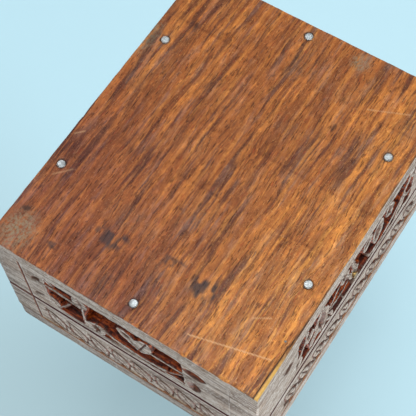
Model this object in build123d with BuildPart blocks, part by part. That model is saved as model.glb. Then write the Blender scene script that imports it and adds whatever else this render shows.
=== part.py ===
"""A carved hardwood puzzle box: nailed body, hinged lid, hidden key drawer and hidden keyhole.

The box stands on its bottom board: +Z is up through the lid, +X runs along the long sides and
the front is at -Y. The origin is the centre of the footprint on the ground. Millimetres.
"""

from build123d import *
import os

# Box
LENGTH = 125.0
DEPTH = 102.5
BOARD_THICK = 7.0
BODY_RIM = 36.0
LID_RIM = 36.4
LID_FRAME_TOP = 56.6
LID_TOP = 66.6
WALL = 10.3
HALF_L = LENGTH / 2
HALF_D = DEPTH / 2
INNER_L = HALF_L - WALL
INNER_D = HALF_D - WALL

# Carving
RELIEF = 4.2
WINDOW_LOW = 9.6
WINDOW_HIGH = 31.9
LONG_WINDOW = (-38.0, 38.0)
SHORT_WINDOW = (-23.0, 31.0)
END_RADIUS = 2.5
KEYHOLE_BOSS_R = 3.8
PIVOT_BOSS_R = 3.0
LEAF_PITCH = 9.1
BORDER_Z = 48.6
BORDER_DEPTH = 1.3
GOUGE_TIP = (-3.2, 5.4)
GOUGE_FOOT = (1.2, -5.6)
GOUGE_OUTER = (1.8, 2.6)
GOUGE_INNER = (3.2, 3.2)
LONG_BORDER = 10
SHORT_BORDER = 8
GROOVE = 0.6
BOARD_EDGE = 0.35
CORNER_ROUND = 1.5
TOP_ROUND = 2.8

# Carved panel of the lid's top board
TOP_PANEL_L = 101.0
TOP_PANEL_D = 79.0
TOP_RELIEF = 2.4
TOP_RING = 19.0
TOP_RING_WIDTH = 2.2
TOP_PETALS = 8
TOP_PETAL_WIDTH = 8.2
TOP_PETAL_LAP = 0.4
TOP_BOSS = 4.0

# Hinges, on the back long side
HINGE_X = 36.0
HINGE_LENGTH = 18.0
HINGE_AXIS_Y = 50.85
HINGE_AXIS_Z = (BODY_RIM + LID_RIM) / 2
KNUCKLE_R = 1.5
HINGE_PIN_R = 0.75
LEAF_THICK = 0.9
LEAF_INNER_Y = 42.6
KNUCKLE_CLEAR_R = 1.85
KNUCKLE_END_GAP = 0.2
BACK_BEVEL = 0.45
HINGE_SCREW_X = 5.8
HINGE_SCREW_Y = 45.4
HINGE_SCREW = {"head_r": 1.5, "shank_r": 0.8, "head_deep": 0.8, "length": 8.0}
BODY_KNUCKLES = [(-9.0, -3.2), (3.2, 9.0)]
LID_KNUCKLES = [(-3.0, 3.0)]

# Lock, behind the middle of the front wall
KEYHOLE_Z = 23.6
PLATE_THICK = 1.2
CASE_DEPTH = 7.0
BOLT_LOW = 29.0
BOLT_HIGH = 33.0
BOLT_TRAVEL = 5.0
INNER_FACE_Y = -INNER_D
PLATE_BACK_Y = INNER_FACE_Y + PLATE_THICK
CASE_BACK_Y = PLATE_BACK_Y + CASE_DEPTH
CASE_HALF = 14.6
CASE_LOW = 15.5
CASE_HIGH = 35.5
CASE_WALL = 1.0
PLATE_HALF = 19.0
PLATE_LOW = 14.5
BOLT_FRONT_Y = -37.6
BOLT_BACK_Y = -35.6
BOLT_GAP = 0.2
BOLT_START_X = -13.0
BOLT_END_X = 8.0
BOLT_GUIDES = ((-13.6, -9.0), (6.2, 9.2))
GUIDE_THICK = 2.4
FORK_HALF = 3.0
FORK_LOW = 25.5
FORK_SLOT_HALF = 1.0
FORK_SLOT_TOP = 28.3
CAM_FRONT_Y = -39.45
CAM_BACK_Y = -37.9
CAM_JOURNAL_R = 2.2
CAM_HUB_R = 1.6
CAM_DISC_R = 2.8
CAM_LOBE_R = 1.3
CAM_PIN_R = 0.7
CAM_PIN_X = -BOLT_TRAVEL / 2
CAM_PIN_Z = KEYHOLE_Z + BOLT_TRAVEL / 2
FIT = 0.05
LOCK_SCREW_PLACES = [(x, PLATE_BACK_Y, z) for x in (-16.8, 16.8) for z in (17.5, 32.5)]
LOCK_SCREW = {"head_r": 1.4, "shank_r": 0.7, "head_deep": 0.7, "length": 6.0}

# Staple on the lid, which the bolt holds
TAB_LOW_X = 10.0
TAB_HIGH_X = 11.6
TAB_FRONT_Y = BOLT_FRONT_Y - 1.0
TAB_BACK_Y = BOLT_BACK_Y + 1.0
TAB_LOW = 26.9
TAB_WALL = 0.7
TAB_GAP = 0.4
STAPLE_WING = 6.7
STAPLE_LOW = 37.0
STAPLE_HIGH = 43.4
STAPLE_ARM_TOP = 38.4
STAPLE_SCREW_PLACES = [(x, PLATE_BACK_Y, 41.0) for x in (5.8, 15.8)]
STAPLE_SCREW = {"head_r": 1.4, "shank_r": 0.7, "head_deep": 0.7, "length": 6.0}

# Leaf that hides the keyhole
LEAF_PIVOT_Z = 28.6
LEAF_PIVOT = (0, LEAF_PIVOT_Z)
KEYHOLE = (0, KEYHOLE_Z)
KEY_BORE_R = 1.6
SWING_RADIUS = 8.8
SWING_FLOOR = 2.8
LEAF_FRONT = 0.8
SWING_LEAF_THICK = 1.7
SWING_LEAF_WIDTH = 6.4
SWING_LEAF_ABOVE = 2.6
SWING_LEAF_BELOW = 8.2
LEAF_EYE_R = 2.1
LEAF_PIN_R = 0.7
LEAF_PIN_DEEP = 7.0
LEAF_PIN_GAP = 0.06
LEAF_PIN_HEAD_R = 1.3
LEAF_PIN_HEAD_FRONT = 0.15
LEAF_END_GAP = 0.1
KEYHOLE_PLATE_R = 2.8
KEYHOLE_PLATE_THICK = 0.6

# Key drawer, in the lid
CEILING_LOW = 44.9
CEILING_HIGH = 47.3
CEILING_TONGUE = 2.5
RUNNER_WIDTH = 3.0
DRAWER_INNER_X = -INNER_L
TRAY_HALF_WIDTH = 16.0
TRAY_INNER_X = 7.0
TRAY_LOW = 47.6
TRAY_HIGH = 56.2
DRAWER_TRAVEL = 45.0
TRAY_GROOVE_TOP = 50.4
STOP_X = -43.0
STOP_R = 1.5
SLIDE_GAP = 0.3
DOWEL_R = 1.5
DOWEL_YS = (-11.0, 11.0)
DOWEL_Z = 50.0
DOWEL_START_X = -58.0
DOWEL_END_X = -46.0

# Key, lying in the tray
KEY_BED_Z = 52.4
KEY_BOW_X = -40.0
KEY_BOW_R = 7.0
KEY_BOW_WALL = 2.6
KEY_BED_ROOM = 2.0
KEY_SHANK_R = 1.1
KEY_SHANK_LAP = 1.0
KEY_COLLAR_R = 1.8
KEY_COLLAR_FROM_BOW = 2.0
KEY_COLLAR_LENGTH = 1.5
KEY_TIP_X = -10.0
KEY_SQUARE = 1.5
KEY_SQUARE_LENGTH = 4.0
KEY_SOCKET_GAP = 0.1

# Nails: places on the bottom board
NAIL_HEAD_R = 1.5
NAIL_HEAD_DEEP = 0.5
NAIL_HEAD_EDGE = 0.25
NAIL_SHANK_R = 0.6
NAIL_TOP = 22.0
NAIL_PLACES = [
    (56.4, -2.1), (22.2, -44.75), (-30.3, -43.75), (28.3, 46.5), (-30.7, 44.75), (-57.7, 2.85),
]
BRAD_PLACE = (42.1, -48.6)
BRAD_R = 0.4

# Rims, where the hinge screws go in: the body's faces up and the lid's faces down
BODY_RIM_PLANE = Plane.XY.offset(BODY_RIM)
LID_RIM_PLANE = Plane((0, 0, LID_RIM), x_dir=(1, 0, 0), z_dir=(0, 0, -1))

# Back of the lock's plate and of the staple's, which screws are driven into from inside
PLATE_BACK = Plane((0, PLATE_BACK_Y, 0), x_dir=(-1, 0, 0), z_dir=(0, 1, 0))

# Side faces, each seen from outside: local x to the right, local y up
FRONT_FACE = Plane((0, -HALF_D, 0), x_dir=(1, 0, 0), z_dir=(0, -1, 0))
BACK_FACE = Plane((0, HALF_D, 0), x_dir=(-1, 0, 0), z_dir=(0, 1, 0))
RIGHT_FACE = Plane((HALF_L, 0, 0), x_dir=(0, 1, 0), z_dir=(1, 0, 0))
LEFT_FACE = Plane((-HALF_L, 0, 0), x_dir=(0, -1, 0), z_dir=(-1, 0, 0))

# Carved vines. A stem is its width and the points of its spline; a leaf is its base, tip and width.
LONG_STEMS = [
    (2.4, [(4.5, 8.6), (1.5, 19), (-5.5, 27.6), (-14, 30.4), (-23, 28.2), (-31, 20.5), (-36, 8.6)]),
    (2.2, [(11.5, 8.6), (7.5, 15), (3.8, 22), (0.5, 28.6), (-0.5, 32.8)]),
    (1.6, [(4.5, 21.4), (10, 23.6), (17.5, 22.2)]),
    (1.4, [(9.2, 11.6), (14, 15.4), (18, 20)]),
    (2.0, [(39, 26), (34.6, 20), (32.6, 14), (33.4, 8.6)]),
    (2.0, [(-39, 26.5), (-34.5, 26), (-31.2, 20.6)]),
]
LONG_LEAVES = [
    ((23.4, 9), (22.4, 30.6), 9.2), ((19.4, 22.6), (15.6, 32.6), 4.6), ((26, 20), (30, 31.6), 4.2),
    ((9.8, 9), (8.4, 17.2), 5.8), ((-7.6, 9), (-4.4, 19), 6.0), ((-13.6, 9), (-13.2, 26.4), 7.6),
    ((-19.6, 9), (-22.2, 20), 6.0), ((32, 22.4), (29.2, 14.4), 4.6), ((-33, 23), (-27, 32.4), 4.4),
    ((-37.2, 9), (-38.6, 18), 5.2), ((38.6, 32.6), (36, 24), 5.0),
]
SHORT_STEMS = [
    (1.8, [(-27, 19.6), (-20, 20.6), (-10, 20.6)]),
    (0.9, [(-24.5, 21.8), (-20, 25.5), (-16, 29.6)]),
    (2.2, [(-15.4, 28.8), (-10, 30.4), (-4.5, 30.7), (2, 29.6), (7, 27.5), (10.4, 25)]),
    (1.4, [(16.4, 16.5), (16.8, 22), (16.9, 28), (16.4, 33)]),
    (2.4, [(17.5, 17.6), (22, 16.2), (27, 15.4), (32.6, 15.6)]),
    (0.9, [(22, 20.6), (24.6, 25.4), (28, 31)]),
]
SHORT_LEAVES = [
    ((-9.6, 12.4), (-5.2, 24.8), 7.4), ((-6.4, 22.4), (-1.2, 19.4), 3.4), ((-4, 20.4), (1.6, 12.6), 6.2),
    ((12.8, 33.2), (12.2, 24.4), 7.6), ((17.5, 8), (16.5, 17.5), 6.4), ((28.4, 32.6), (31, 23.4), 5.0),
    ((-25, 31.6), (-13.6, 31.4), 4.4), ((-12, 32.6), (9, 32), 3.4), ((30.4, 8.6), (27.4, 13.4), 3.2),
]

TOP_STEMS = [
    (2.0, [(12, 14), (22, 24), (34, 29), (44, 31), (52, 41)]),
    (1.8, [(18, 6), (28, 10), (38, 9), (46, 14), (52, 12)]),
    (1.8, [(0, 18), (4, 26), (3, 33), (0, 41)]),
]
TOP_LEAVES = [
    ((21, 23), (19, 36), 6.0), ((27, 26.5), (33, 38), 5.4), ((30, 27), (36, 17), 6.0),
    ((40, 30), (41, 39), 4.6), ((43, 31), (49, 22), 5.0), ((24, 9), (27, 20), 5.2),
    ((36, 9.4), (41, 1.5), 5.0), ((4, 27), (12, 33), 5.2),
]


def box_between(low, high, mode=Mode.ADD):
    """A plain block from its lowest to its highest corner."""
    centre = [(a + b) / 2 for a, b in zip(low, high)]
    with Locations(tuple(centre)):
        Box(*[b - a for a, b in zip(low, high)], mode=mode)


def add_stem(width, points):
    """One vine stem: a spline drawn out to its width, with round ends."""
    with BuildLine(mode=Mode.PRIVATE) as path:
        Spline(*points)
    trace(path.line, width)
    with Locations(points[0], points[-1]):
        Circle(width / 2)


def add_leaf(base, tip, width, mode=Mode.ADD):
    """One pointed leaf between two arcs, widest in the middle."""
    base, tip = Vector(*base), Vector(*tip)
    axis = tip - base
    side = Vector(-axis.Y, axis.X).normalized() * (width / 2)
    middle = base + axis * 0.5
    with BuildLine(mode=Mode.PRIVATE) as outline:
        ThreePointArc(base, middle + side, tip)
        ThreePointArc(tip, middle - side, base)
    make_face(outline.edges(), mode=mode)


def window_outline(window, mode=Mode.ADD):
    """The outline of a carved window between its two ends."""
    with Locations((sum(window) / 2, (WINDOW_LOW + WINDOW_HIGH) / 2)):
        RectangleRounded(window[1] - window[0], WINDOW_HIGH - WINDOW_LOW, END_RADIUS, mode=mode)


def carve_window(face, window, stems, leaves, bosses):
    """Sink the ground of a window in a wall's face, round the vine that stands in it."""
    with BuildSketch(mode=Mode.PRIVATE) as vine:
        for width, points in stems:
            add_stem(width, points)
        for base, tip, width in leaves:
            add_leaf(base, tip, width)
        for place, radius in bosses:
            with Locations(place):
                Circle(radius)
    with BuildSketch(face) as ground:
        window_outline(window)
        add(vine.sketch, mode=Mode.SUBTRACT)
    extrude(ground.sketch, amount=-RELIEF, mode=Mode.SUBTRACT)


def carve_border(face, count):
    """Gouge a row of curled leaves along a lid rail."""
    with BuildLine(mode=Mode.PRIVATE) as outline:
        ThreePointArc(GOUGE_TIP, GOUGE_OUTER, GOUGE_FOOT)
        ThreePointArc(GOUGE_FOOT, GOUGE_INNER, GOUGE_TIP)
    with BuildSketch(mode=Mode.PRIVATE) as gouge:
        make_face(outline.edges())
    with BuildSketch(face) as gouges:
        with Locations((0, BORDER_Z)):
            with GridLocations(LEAF_PITCH, 1, count, 1):
                add(gouge.sketch)
    extrude(gouges.sketch, amount=-BORDER_DEPTH, mode=Mode.SUBTRACT)


def drill_nails(high):
    """Holes for the nails' shanks, up to the given height."""
    with BuildSketch(Plane.XY) as shanks:
        with Locations(*NAIL_PLACES):
            Circle(NAIL_SHANK_R)
    extrude(shanks.sketch, amount=high, mode=Mode.SUBTRACT)


def countersunk(plane, places, head_r, shank_r, head_deep, length, mode=Mode.ADD):
    """Flush screws driven into a plane, or with Mode.SUBTRACT the holes that take them."""
    top = (Align.CENTER, Align.CENTER, Align.MAX)
    local_places = [plane.to_local_coords(Vector(*place)) for place in places]
    with Locations(plane.location):
        with Locations(*local_places):
            Cone(shank_r, head_r, head_deep, align=top, mode=mode)
            Cylinder(shank_r, length, align=top, mode=mode)


def bar_along_x(radius, low_x, high_x, y, z, mode=Mode.ADD):
    """A round bar or bore that runs along X."""
    with Locations(Location((low_x, y, z), (0, 90, 0))):
        Cylinder(radius, high_x - low_x, align=(Align.CENTER, Align.CENTER, Align.MIN), mode=mode)


def bar_along_y(radius, low_y, high_y, x, z, mode=Mode.ADD):
    """A round bar or bore that runs along Y."""
    with Locations(Location((x, low_y, z), (-90, 0, 0))):
        Cylinder(radius, high_y - low_y, align=(Align.CENTER, Align.CENTER, Align.MIN), mode=mode)


def bar_along_z(radius, low_z, high_z, x, y, mode=Mode.ADD):
    """A round bar or bore that runs along Z."""
    with Locations((x, y, low_z)):
        Cylinder(radius, high_z - low_z, align=(Align.CENTER, Align.CENTER, Align.MIN), mode=mode)


def hinge_mortises(low_z, high_z, screw_plane):
    """Seats for both hinges' leaves and knuckles in a rim, with their screw holes."""
    for x in (-HINGE_X, HINGE_X):
        with BuildPart(mode=Mode.PRIVATE) as seat:
            box_between((x - HINGE_LENGTH / 2, LEAF_INNER_Y, low_z), (x + HINGE_LENGTH / 2, HALF_D, high_z))
            bar_along_x(KNUCKLE_CLEAR_R, x - HINGE_LENGTH / 2 - KNUCKLE_END_GAP,
                        x + HINGE_LENGTH / 2 + KNUCKLE_END_GAP, HINGE_AXIS_Y, HINGE_AXIS_Z)
        add(seat.part, mode=Mode.SUBTRACT)
        countersunk(screw_plane, hinge_screw_places(screw_plane, x), mode=Mode.SUBTRACT, **HINGE_SCREW)


def hinge_screw_places(rim, x):
    """Two screws in each leaf, at the height of its rim."""
    return [(x + side * HINGE_SCREW_X, HINGE_SCREW_Y, rim.origin.Z) for side in (-1, 1)]


def hinge_leaf(x, low_z, high_z, knuckles, others, bore_r, screw_plane):
    """One hinge leaf: a plate with its own knuckles, cut back round the other leaf's."""
    box_between((x - HINGE_LENGTH / 2, LEAF_INNER_Y, low_z), (x + HINGE_LENGTH / 2, HINGE_AXIS_Y, high_z))
    for start, end in others:
        bar_along_x(KNUCKLE_CLEAR_R, x + start, x + end, HINGE_AXIS_Y, HINGE_AXIS_Z, Mode.SUBTRACT)
    for start, end in knuckles:
        bar_along_x(KNUCKLE_R, x + start, x + end, HINGE_AXIS_Y, HINGE_AXIS_Z)
    bar_along_x(bore_r, x - HINGE_LENGTH, x + HINGE_LENGTH, HINGE_AXIS_Y, HINGE_AXIS_Z, Mode.SUBTRACT)
    countersunk(screw_plane, hinge_screw_places(screw_plane, x), mode=Mode.SUBTRACT, **HINGE_SCREW)


def save(piece, name):
    """Name a finished piece and write it."""
    piece.part.label = name
    export_step(piece.part, f"parts/{name}.step")


os.makedirs("parts", exist_ok=True)

# ---------------------------------------------------------------- bottom board and nails
with BuildPart() as bottom_board:
    box_between((-HALF_L, -HALF_D, 0), (HALF_L, HALF_D, BOARD_THICK))
    chamfer(bottom_board.faces().sort_by(Axis.Z)[0].edges(), BOARD_EDGE)
    drill_nails(BOARD_THICK)
    with BuildSketch(Plane.XY):
        with Locations(*NAIL_PLACES):
            Circle(NAIL_HEAD_R)
    extrude(amount=NAIL_HEAD_DEEP, mode=Mode.SUBTRACT)
    with BuildSketch(Plane.XY):
        with Locations(BRAD_PLACE):
            Circle(BRAD_R)
    extrude(amount=BOARD_THICK, mode=Mode.SUBTRACT)
save(bottom_board, "bottom_board")

with BuildPart() as bottom_nails:
    with BuildSketch(Plane.XY):
        with Locations(*NAIL_PLACES):
            Circle(NAIL_HEAD_R)
    extrude(amount=NAIL_HEAD_DEEP)
    chamfer(bottom_nails.faces().group_by(Axis.Z)[0].edges(), NAIL_HEAD_EDGE)
    with BuildSketch(Plane.XY):
        with Locations(*NAIL_PLACES):
            Circle(NAIL_SHANK_R)
    extrude(amount=NAIL_TOP)
save(bottom_nails, "bottom_nails")

with BuildPart() as edge_brad:
    with BuildSketch(Plane.XY):
        with Locations(BRAD_PLACE):
            Circle(BRAD_R)
    extrude(amount=BOARD_THICK)
save(edge_brad, "edge_brad")

# ---------------------------------------------------------------- body walls
with BuildPart() as front_wall:
    box_between((-HALF_L, -HALF_D, BOARD_THICK), (HALF_L, -INNER_D, BODY_RIM))
    carve_window(FRONT_FACE, LONG_WINDOW, LONG_STEMS, LONG_LEAVES,
                 [(KEYHOLE, KEYHOLE_BOSS_R), (LEAF_PIVOT, PIVOT_BOSS_R)])
    drill_nails(NAIL_TOP)
    with BuildSketch(FRONT_FACE) as swing_floor:
        with Locations(LEAF_PIVOT):
            Circle(SWING_RADIUS)
        window_outline(LONG_WINDOW, Mode.INTERSECT)
    extrude(amount=-SWING_FLOOR, mode=Mode.SUBTRACT)
    with BuildSketch(FRONT_FACE) as plate_seat:
        with Locations(KEYHOLE):
            Circle(KEYHOLE_PLATE_R)
    extrude(amount=-SWING_FLOOR - KEYHOLE_PLATE_THICK, mode=Mode.SUBTRACT)
    with BuildSketch(FRONT_FACE) as key_bore:
        with Locations(KEYHOLE):
            Circle(KEY_BORE_R)
    extrude(amount=-WALL, mode=Mode.SUBTRACT)
    with BuildSketch(FRONT_FACE) as pin_bore:
        with Locations(LEAF_PIVOT):
            Circle(LEAF_PIN_R)
    extrude(amount=-LEAF_PIN_DEEP, mode=Mode.SUBTRACT)
    countersunk(PLATE_BACK, LOCK_SCREW_PLACES, mode=Mode.SUBTRACT, **LOCK_SCREW)
save(front_wall, "front_wall")

with BuildPart() as back_wall:
    box_between((-HALF_L, INNER_D, BOARD_THICK), (HALF_L, HALF_D, BODY_RIM))
    chamfer(back_wall.faces().sort_by(Axis.Z)[-1].edges().sort_by(Axis.Y)[-1], BACK_BEVEL)
    carve_window(BACK_FACE, LONG_WINDOW, LONG_STEMS, LONG_LEAVES, [])
    drill_nails(NAIL_TOP)
    hinge_mortises(BODY_RIM - LEAF_THICK, BODY_RIM, BODY_RIM_PLANE)
save(back_wall, "back_wall")

with BuildPart() as right_wall:
    box_between((INNER_L, -INNER_D, BOARD_THICK), (HALF_L, INNER_D, BODY_RIM))
    carve_window(RIGHT_FACE, SHORT_WINDOW, SHORT_STEMS, SHORT_LEAVES, [])
    drill_nails(NAIL_TOP)
save(right_wall, "right_wall")

with BuildPart() as left_wall:
    box_between((-HALF_L, -INNER_D, BOARD_THICK), (-INNER_L, INNER_D, BODY_RIM))
    carve_window(LEFT_FACE, SHORT_WINDOW, SHORT_STEMS, SHORT_LEAVES, [])
    drill_nails(NAIL_TOP)
save(left_wall, "left_wall")

# ---------------------------------------------------------------- lid frame
with BuildPart() as lid_front_rail:
    box_between((-HALF_L, -HALF_D, LID_RIM), (HALF_L, -INNER_D, LID_FRAME_TOP))
    chamfer(lid_front_rail.faces().sort_by(Axis.Z)[-1].edges().sort_by(Axis.Y)[0], GROOVE)
    carve_border(FRONT_FACE, LONG_BORDER)
    box_between((-HALF_L, -INNER_D - CEILING_TONGUE, CEILING_LOW),
                (INNER_L, -INNER_D, CEILING_HIGH), Mode.SUBTRACT)
    countersunk(PLATE_BACK, STAPLE_SCREW_PLACES, mode=Mode.SUBTRACT, **STAPLE_SCREW)
save(lid_front_rail, "lid_front_rail")

with BuildPart() as lid_back_rail:
    box_between((-HALF_L, INNER_D, LID_RIM), (HALF_L, HALF_D, LID_FRAME_TOP))
    chamfer(lid_back_rail.faces().sort_by(Axis.Z)[-1].edges().sort_by(Axis.Y)[-1], GROOVE)
    chamfer(lid_back_rail.faces().sort_by(Axis.Z)[0].edges().sort_by(Axis.Y)[-1], BACK_BEVEL)
    carve_border(BACK_FACE, LONG_BORDER)
    box_between((-HALF_L, INNER_D, CEILING_LOW),
                (INNER_L, INNER_D + CEILING_TONGUE, CEILING_HIGH), Mode.SUBTRACT)
    hinge_mortises(LID_RIM, LID_RIM + LEAF_THICK, LID_RIM_PLANE)
save(lid_back_rail, "lid_back_rail")

with BuildPart() as lid_right_rail:
    box_between((INNER_L, -INNER_D, LID_RIM), (HALF_L, INNER_D, LID_FRAME_TOP))
    chamfer(lid_right_rail.faces().sort_by(Axis.Z)[-1].edges().sort_by(Axis.X)[-1], GROOVE)
    carve_border(RIGHT_FACE, SHORT_BORDER)
    box_between((INNER_L, -INNER_D, CEILING_LOW),
                (INNER_L + CEILING_TONGUE, INNER_D, CEILING_HIGH), Mode.SUBTRACT)
save(lid_right_rail, "lid_right_rail")

with BuildPart() as lid_top_board:
    box_between((-HALF_L, -HALF_D, LID_FRAME_TOP), (HALF_L, HALF_D, LID_TOP))
    fillet(lid_top_board.edges().filter_by(Axis.Z), CORNER_ROUND)
    fillet(lid_top_board.faces().sort_by(Axis.Z)[-1].edges(), TOP_ROUND)
    chamfer(lid_top_board.faces().sort_by(Axis.Z)[0].edges(), GROOVE)
    with BuildSketch(mode=Mode.PRIVATE) as quarter:
        for width, points in TOP_STEMS:
            add_stem(width, points)
        for base, tip, width in TOP_LEAVES:
            add_leaf(base, tip, width)
    with BuildSketch(Plane.XY.offset(LID_TOP)) as top_ground:
        RectangleRounded(TOP_PANEL_L, TOP_PANEL_D, END_RADIUS)
        Circle(TOP_RING + TOP_RING_WIDTH / 2, mode=Mode.SUBTRACT)
        Circle(TOP_RING - TOP_RING_WIDTH / 2)
        for turn in range(TOP_PETALS):
            angle = turn * 360 / TOP_PETALS
            add_leaf(Vector(TOP_BOSS - TOP_PETAL_LAP, 0).rotate(Axis.Z, angle),
                     Vector(TOP_RING + TOP_PETAL_LAP, 0).rotate(Axis.Z, angle),
                     TOP_PETAL_WIDTH, Mode.SUBTRACT)
        Circle(TOP_BOSS, mode=Mode.SUBTRACT)
        add(quarter.sketch, mode=Mode.SUBTRACT)
        add(quarter.sketch.mirror(Plane.XZ), mode=Mode.SUBTRACT)
        add(quarter.sketch.mirror(Plane.YZ), mode=Mode.SUBTRACT)
        add(quarter.sketch.mirror(Plane.XZ).mirror(Plane.YZ), mode=Mode.SUBTRACT)
    extrude(amount=-TOP_RELIEF, mode=Mode.SUBTRACT)
save(lid_top_board, "lid_top_board")

with BuildPart() as lid_ceiling:
    box_between((DRAWER_INNER_X + SLIDE_GAP, -INNER_D, CEILING_LOW),
                (INNER_L + CEILING_TONGUE, INNER_D, CEILING_HIGH))
    box_between((DRAWER_INNER_X + SLIDE_GAP, -INNER_D - CEILING_TONGUE, CEILING_LOW),
                (INNER_L, INNER_D + CEILING_TONGUE, CEILING_HIGH))
    bar_along_z(STOP_R, CEILING_LOW, CEILING_HIGH, STOP_X, 0, Mode.SUBTRACT)
save(lid_ceiling, "lid_ceiling")

for runner_name, side in (("front_runner", -1), ("back_runner", 1)):
    with BuildPart() as runner:
        inner_y = side * (TRAY_HALF_WIDTH + SLIDE_GAP)
        outer_y = inner_y + side * RUNNER_WIDTH
        box_between((DRAWER_INNER_X + SLIDE_GAP, min(inner_y, outer_y), CEILING_HIGH),
                    (INNER_L, max(inner_y, outer_y), LID_FRAME_TOP))
    save(runner, runner_name)

with BuildPart() as drawer_stop:
    bar_along_z(STOP_R, CEILING_LOW, TRAY_GROOVE_TOP - SLIDE_GAP, STOP_X, 0)
save(drawer_stop, "drawer_stop")

# ---------------------------------------------------------------- key drawer
with BuildPart() as drawer_front:
    box_between((-HALF_L, -INNER_D + SLIDE_GAP, LID_RIM),
                (DRAWER_INNER_X, INNER_D - SLIDE_GAP, LID_FRAME_TOP - SLIDE_GAP))
    chamfer(drawer_front.faces().sort_by(Axis.Z)[-1].edges().sort_by(Axis.X)[0], GROOVE)
    carve_border(LEFT_FACE, SHORT_BORDER)
    for y in DOWEL_YS:
        bar_along_x(DOWEL_R, DOWEL_START_X, DRAWER_INNER_X, y, DOWEL_Z, Mode.SUBTRACT)
save(drawer_front, "drawer_front")

with BuildPart() as drawer_tray:
    box_between((DRAWER_INNER_X, -TRAY_HALF_WIDTH, TRAY_LOW), (TRAY_INNER_X, TRAY_HALF_WIDTH, TRAY_HIGH))
    with BuildSketch(Plane.XY.offset(TRAY_HIGH)):
        with Locations(((KEY_BOW_X + KEY_TIP_X) / 2 - KEY_BOW_R / 2, 0)):
            RectangleRounded(KEY_TIP_X - KEY_BOW_X + KEY_BOW_R + 2 * KEY_BED_ROOM,
                             2 * (KEY_BOW_R + KEY_BED_ROOM), END_RADIUS)
    extrude(amount=KEY_BED_Z - TRAY_HIGH, mode=Mode.SUBTRACT)
    with BuildSketch(Plane.XY.offset(TRAY_LOW)):
        with Locations((STOP_X + DRAWER_TRAVEL / 2, 0)):
            SlotCenterToCenter(DRAWER_TRAVEL, 2 * (STOP_R + SLIDE_GAP))
    extrude(amount=TRAY_GROOVE_TOP - TRAY_LOW, mode=Mode.SUBTRACT)
    for y in DOWEL_YS:
        bar_along_x(DOWEL_R, DRAWER_INNER_X, DOWEL_END_X, y, DOWEL_Z, Mode.SUBTRACT)
save(drawer_tray, "drawer_tray")

with BuildPart() as drawer_dowels:
    for y in DOWEL_YS:
        bar_along_x(DOWEL_R, DOWEL_START_X, DOWEL_END_X, y, DOWEL_Z)
save(drawer_dowels, "drawer_dowels")

with BuildPart() as key:
    with BuildSketch(Plane.XY.offset(KEY_BED_Z)):
        with Locations((KEY_BOW_X, 0)):
            Circle(KEY_BOW_R)
            Circle(KEY_BOW_R - KEY_BOW_WALL, mode=Mode.SUBTRACT)
    extrude(amount=2 * KEY_SHANK_R)
    bow_end = KEY_BOW_X + KEY_BOW_R
    collar_start = bow_end + KEY_COLLAR_FROM_BOW
    shank_z = KEY_BED_Z + KEY_SHANK_R
    bar_along_x(KEY_SHANK_R, bow_end - KEY_SHANK_LAP, KEY_TIP_X - KEY_SQUARE_LENGTH, 0, shank_z)
    bar_along_x(KEY_COLLAR_R, collar_start, collar_start + KEY_COLLAR_LENGTH, 0, shank_z)
    half_square = KEY_SQUARE / 2
    box_between((KEY_TIP_X - KEY_SQUARE_LENGTH, -half_square, shank_z - half_square),
                (KEY_TIP_X, half_square, shank_z + half_square))
    split(bisect_by=Plane.XY.offset(KEY_BED_Z), keep=Keep.TOP)
save(key, "key")

# ---------------------------------------------------------------- leaf over the keyhole
with BuildPart() as keyhole_leaf:
    with BuildSketch(FRONT_FACE.offset(-LEAF_FRONT)):
        add_leaf((0, LEAF_PIVOT_Z + SWING_LEAF_ABOVE), (0, LEAF_PIVOT_Z - SWING_LEAF_BELOW),
                 SWING_LEAF_WIDTH)
        with Locations(LEAF_PIVOT):
            Circle(LEAF_EYE_R)
            Circle(LEAF_PIN_R + LEAF_PIN_GAP, mode=Mode.SUBTRACT)
    extrude(amount=-SWING_LEAF_THICK)
save(keyhole_leaf, "keyhole_leaf")

with BuildPart() as leaf_pin:
    head_back = -HALF_D + LEAF_FRONT - LEAF_END_GAP
    bar_along_y(LEAF_PIN_R, head_back, -HALF_D + LEAF_PIN_DEEP, 0, LEAF_PIVOT_Z)
    bar_along_y(LEAF_PIN_HEAD_R, -HALF_D + LEAF_PIN_HEAD_FRONT, head_back, 0, LEAF_PIVOT_Z)
save(leaf_pin, "leaf_pin")

with BuildPart() as keyhole_plate:
    with BuildSketch(FRONT_FACE.offset(-SWING_FLOOR)):
        with Locations(KEYHOLE):
            Circle(KEYHOLE_PLATE_R)
            Circle(KEYHOLE_PLATE_R / 2, mode=Mode.SUBTRACT)
    extrude(amount=-KEYHOLE_PLATE_THICK)
save(keyhole_plate, "keyhole_plate")

# ---------------------------------------------------------------- lock
with BuildPart() as lock_plate:
    box_between((-PLATE_HALF, INNER_FACE_Y, PLATE_LOW), (PLATE_HALF, PLATE_BACK_Y, CASE_HIGH))
    bar_along_y(CAM_JOURNAL_R + FIT, INNER_FACE_Y, PLATE_BACK_Y, 0, KEYHOLE_Z, Mode.SUBTRACT)
    countersunk(PLATE_BACK, LOCK_SCREW_PLACES, mode=Mode.SUBTRACT, **LOCK_SCREW)
save(lock_plate, "lock_plate")

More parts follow.
